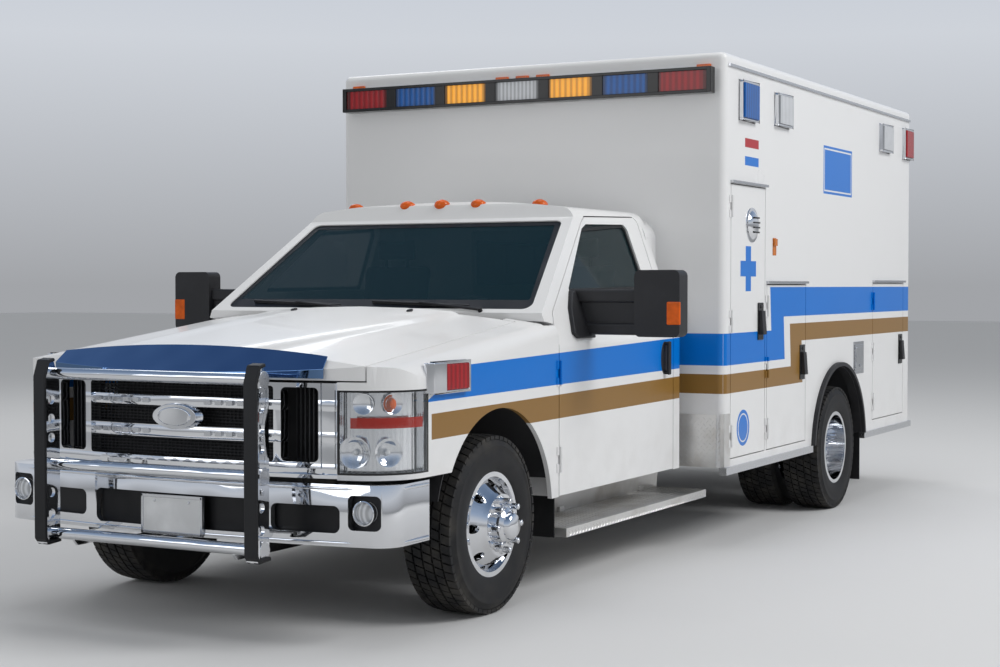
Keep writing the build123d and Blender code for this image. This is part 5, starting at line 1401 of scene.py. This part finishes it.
class AMBULANCE_OT_dash(bpy.types.Operator):
    """The dashboard's hood, panels, vents, knobs and dials, and the door cards"""
    bl_idname = "ambulance.dash"
    bl_label = "Dashboard and door cards"

    def execute(self, context):
        bm = bmesh.new()
        plate(bm, [(1.60, 1.184), (1.585, 1.215), (1.615, 1.232), (1.76, 1.205), (1.80, 1.184)], 1, 0.20, 0.60)
        plate(bm, [(1.60, 1.183), (1.60, 1.196), (1.83, 1.196), (1.83, 1.183)], 1, -0.86, 0.86)
        piece("dash_top", bm, "black", 0.010, slot="grey_trim")
        panels, controls = bmesh.new(), bmesh.new()
        block(panels, (1.566, -0.155, 0.955), (1.590, 0.155, 1.165))
        for y in AIR_VENTS:
            block(panels, (1.568, y - 0.055, 1.105), (1.590, y + 0.055, 1.165))
            for index in range(4):
                z = 1.115 + index * 0.013
                block(controls, (1.562, y - 0.048, z), (1.570, y + 0.048, z + 0.003))
        for y in (-0.09, -0.03, 0.03, 0.09):
            rod(controls, (1.548, y, 0.99), (1.568, y, 0.99), 0.016, 0.018, 20)
        for z in (1.035, 1.06):
            block(controls, (1.560, -0.11, z), (1.568, 0.11, z + 0.015))
        piece("dash_panels", panels, "gloss_black", 0.006, slot="grey_trim")
        piece("dash_controls", controls, "grey", 0.001)
        bm = bmesh.new()
        for y in (0.31, 0.40, 0.49):
            rod(bm, (1.585, y, 1.145), (1.570, y, 1.145), 0.038, 0.036, 32)
        piece("dials", bm, "plate", 0.001, slot="grey_trim")
        for side, name in SIDES:
            self.card(side, name)
        return {"FINISHED"}

    def card(self, side, name):
        """The trim panel inside a cab door, with its armrest, pull and speaker."""
        body = f"cab_door_{name}"
        face = side * 0.955
        bm = bmesh.new()
        plate(bm, [(0.60, 0.50), (1.78, 0.50), (1.80, 1.12), (0.60, 1.12)], 1, face - side * 0.012, face)
        piece(f"door_card_{name}", bm, "grey", 0.004, body)
        bm = bmesh.new()
        for v in block(bm, (0.85, face - side * 0.06, 0.965), (1.45, face, 1.02)):
            if v.co.z < 0.98 and abs(v.co.y) < 0.92:
                v.co.y = face - side * 0.03
        block(bm, (1.35, face - side * 0.035, 1.05), (1.47, face, 1.075))
        piece(f"armrest_{name}", bm, "black", 0.010, body, "grey_trim")
        bm = bmesh.new()
        turned(bm, [(0.0, 0.085), (0.006, 0.083), (0.008, 0.074), (0.004, 0.070), (0.006, 0.0)],
               (1.60, face - side * 0.012, 0.66), (0, -side, 0), 32)
        piece(f"door_speaker_{name}", bm, "black", 0.0, body, "grey_trim")


# Inside the module

# Each cushion's corners, how far it may swell and how deep its seams are
BENCH_PADS = (("bench_cushion", (-2.37, -1.155, 1.238), (-1.10, -0.62, 1.298), 0.010, 0.007),
              ("bench_back", (-2.37, -1.165, 1.42), (-1.10, -1.115, 1.74), 0.008, 0.006))


class AMBULANCE_OT_patient_room(bpy.types.Operator):
    """The bench's cushions, the cabinets' doors and catches, the ceiling lamps and the grab rail"""
    bl_idname = "ambulance.patient_room"
    bl_label = "Patient room"

    def execute(self, context):
        for name, low, high, cap, depth in BENCH_PADS:
            pad(name, cushion_form(low, high, 0.02, pinch=0.12), "vinyl", 0.014, cap,
                lambda co: groove(co.x + 1.95, depth, 0.014) + groove(co.x + 1.52, depth, 0.014))
        doors, catches = bmesh.new(), bmesh.new()
        for index in range(5):
            x = -3.19 + index * 0.695
            block(doors, (x, 0.806, 2.03), (x + 0.665, 0.820, 2.585))
            block(catches, (x + 0.30, 0.794, 2.05), (x + 0.365, 0.806, 2.075))
        for index in range(2):
            x = -2.36 + index * 0.64
            block(doors, (x, 0.676, 0.955), (x + 0.61, 0.690, 1.34))
            block(catches, (x + 0.27, 0.664, 1.29), (x + 0.34, 0.676, 1.315))
        piece("cabinet_doors", doors, "laminate", 0.004)
        piece("cabinet_catches", catches, "stainless", 0.003)
        bm = bmesh.new()
        dish = [(0.0, 0.115), (-0.010, 0.110), (-0.014, 0.09), (-0.018, 0.0)]
        for x in (-2.9, -2.1, -1.3, -0.5):
            turned(bm, dish, (x, -0.2, 2.62), (0, 0, 1), 40)
        piece("ceiling_lamps", bm, "clear")
        bm = bmesh.new()
        y, rail, ceiling = 0.05, 2.54, 2.62
        rod(bm, (-3.0, y, rail), (0.1, y, rail), 0.016)
        for x in (-2.98, -1.45, 0.08):
            rod(bm, (x, y, rail), (x, y, ceiling), 0.012)
            rod(bm, (x, y, ceiling - 0.008), (x, y, ceiling), 0.032)
        piece("grab_rail", bm, "stainless")
        return {"FINISHED"}


# Round the wheels and under the doors

# The arch lining's section: distance from the vehicle's middle, and from the axle
ARCH_SECTION = ((1.168, 0.5155), (1.2215, 0.5155), (1.2215, 0.5225), (1.168, 0.5225))
BOARD_RISER = ((0.700, 0.288), (0.704, 0.288), (0.720, 0.442), (0.716, 0.442))


class AMBULANCE_OT_wheel_surrounds(bpy.types.Operator):
    """Black linings over the rear arches' cut edges, mud flaps and the risers behind the running boards"""
    bl_idname = "ambulance.wheel_surrounds"
    bl_label = "Wheel surrounds"

    def execute(self, context):
        axle = (REAR_AXLE_X, 0, AXLE_Z)
        for side, name in SIDES:
            bm = bmesh.new()
            verts = [bm.verts.new((REAR_AXLE_X + radius, side * y, AXLE_Z)) for y, radius in ARCH_SECTION]
            edges = [bm.edges.new((verts[i - 1], verts[i])) for i in range(4)]
            bmesh.ops.rotate(bm, verts=verts, cent=axle, matrix=Matrix.Rotation(math.radians(-6.2), 3, "Y"))
            bmesh.ops.spin(bm, geom=verts + edges, cent=axle, axis=(0, 1, 0), angle=math.radians(-167.6), steps=48)
            bmesh.ops.holes_fill(bm, edges=[e for e in bm.edges if e.is_boundary], sides=4)
            piece(f"arch_lining_{name}", bm, "black")
            bm = bmesh.new()
            block(bm, (1.872, side * 0.72, 0.25), (1.880, side * 0.965, 0.66))
            block(bm, (REAR_AXLE_X - 0.535, side * 0.65, 0.13), (REAR_AXLE_X - 0.527, side * 1.205, 0.52))
            piece(f"mud_flaps_{name}", bm, "seal", 0.002)
            bm = bmesh.new()
            plate(bm, [(side * y, z) for y, z in BOARD_RISER], 0, 0.06, 1.83)
            piece(f"board_riser_{name}", bm, "tread")
        return {"FINISHED"}


# Studio

# Heights on the backdrop, as the sine of the elevation, with their colours
BACKDROP = ((0.0, (0.36, 0.37, 0.39)), (0.14, (0.62, 0.65, 0.70)), (0.42, (0.34, 0.43, 0.58)),
            (0.9, (0.11, 0.17, 0.28)))
CAMERA_PLACE = (9.05, 4.54, 1.428)
CAMERA_AIM = (0.62, 0.0, 1.16)
# Each lamp's place, what it faces, its size and its power
STUDIO_LAMPS = (
    ("key", (-0.5, 11.0, 9.5), (0.0, 0.0, 1.0), (6.0, 5.0), 880.0),
    ("front_fill", (12.0, -4.0, 5.0), (2.0, 0.0, 1.0), (6.0, 4.0), 130.0),
    ("rear_fill", (-7.0, -8.0, 10.0), (-1.0, 0.0, 1.2), (6.0, 4.0), 240.0),
    ("top", (0.0, 0.0, 11.0), (0.0, 0.0, 0.0), (8.0, 5.0), 190.0),
)


def faced(made, place, aim):
    """Stands a lamp or a camera at a place, turned to its aim."""
    made.location = place
    made.rotation_euler = (Vector(aim) - Vector(place)).to_track_quat("-Z", "Y").to_euler()
    return made


class AMBULANCE_OT_studio(bpy.types.Operator):
    """Lays a pale floor, lights the vehicle softly and sets the camera"""
    bl_idname = "ambulance.studio"
    bl_label = "Studio"

    def execute(self, context):
        self.floor()
        for name, place, aim, size, power in STUDIO_LAMPS:
            data = bpy.data.lights.new(name, "AREA")
            data.shape, data.size, data.size_y, data.energy = "RECTANGLE", size[0], size[1], power
            faced(placed(name, data), place, aim)
        self.world(context.scene)
        data = bpy.data.cameras.new("camera")
        data.lens, data.clip_end = looks().lens, 200.0
        context.scene.camera = faced(placed("camera", data), CAMERA_PLACE, CAMERA_AIM)
        context.scene.view_settings.view_transform = "Standard"
        return {"FINISHED"}

    def floor(self):
        shade = looks().floor_shade
        f = Finish("studio_floor", (shade,) * 3, 0.9)
        f.set("Base Color", f.mix(f.noise(0.6, 3.0) * 0.15, (shade,) * 3, (shade * 0.92,) * 3))
        bm = bmesh.new()
        bmesh.ops.create_grid(bm, x_segments=1, y_segments=1, size=60.0)
        mesh = mesh_of(bm, "studio_floor", False)
        mesh.materials.append(f.material)
        floor = placed("studio_floor", mesh)

    def world(self, scene):
        """Soft light all round, and a banded sky for the camera, the glass and the plating to see."""
        scene.world = bpy.data.worlds.new("studio")
        scene.world.use_nodes = True
        g = Graph(scene.world.node_tree)
        height = g.parts(g.node("ShaderNodeTexCoord", output="Generated"))[2]
        sky = g.node("ShaderNodeValToRGB", {}, [height])
        stops = sky.socket.node.color_ramp.elements
        for index, (place, level) in enumerate(BACKDROP):
            stop = stops[index] if index < 2 else stops.new(place)
            stop.position, stop.color = place, (*level, 1.0)
        camera, glass_ray, glossy = (g.node("ShaderNodeLightPath", output=f"Is {kind} Ray")
                                     for kind in ("Camera", "Transmission", "Glossy"))
        light = g.node("ShaderNodeBackground", {}, [(0.96, 0.98, 1.0), 0.46])
        backdrop = g.node("ShaderNodeBackground", {}, [sky])
        mixed = g.node("ShaderNodeMixShader", {}, [camera.most(glass_ray).most(glossy), light, backdrop])
        g.node("ShaderNodeOutputWorld", {}, [mixed])


STEPS = (AMBULANCE_OT_solids, AMBULANCE_OT_tyres, AMBULANCE_OT_wheel_covers, AMBULANCE_OT_front, AMBULANCE_OT_lamps,
         AMBULANCE_OT_latches, AMBULANCE_OT_side_trim, AMBULANCE_OT_treads, AMBULANCE_OT_mirrors, AMBULANCE_OT_cowl,
         AMBULANCE_OT_glazing, AMBULANCE_OT_cab_seats, AMBULANCE_OT_dash, AMBULANCE_OT_patient_room,
         AMBULANCE_OT_wheel_surrounds, AMBULANCE_OT_studio)


class AMBULANCE_PT_sidebar(bpy.types.Panel):
    """Lists the pieces and their settings"""
    bl_idname = "AMBULANCE_PT_sidebar"
    bl_label = "Ambulance"
    bl_space_type = "VIEW_3D"
    bl_region_type = "UI"
    bl_category = "Ambulance"

    def draw(self, context):
        for name in AMBULANCE_PG_looks.__annotations__:
            self.layout.prop(looks(), name)
        for operator in STEPS:
            self.layout.operator(operator.bl_idname)


CLASSES = (AMBULANCE_PG_looks, *STEPS, AMBULANCE_PT_sidebar)


def register():
    for made in CLASSES:
        bpy.utils.register_class(made)
    bpy.types.Scene.ambulance_looks = bpy.props.PointerProperty(type=AMBULANCE_PG_looks)


def unregister():
    del bpy.types.Scene.ambulance_looks
    for made in reversed(CLASSES):
        bpy.utils.unregister_class(made)


def main():
    for leftover in list(bpy.data.objects):
        if leftover.name in ("Cube", "Light", "Camera"):
            bpy.data.objects.remove(leftover)
    register()
    make_library()
    for operator in STEPS:
        group, name = operator.bl_idname.split(".")
        getattr(getattr(bpy.ops, group), name)()


if __name__ == "__main__":
    main()
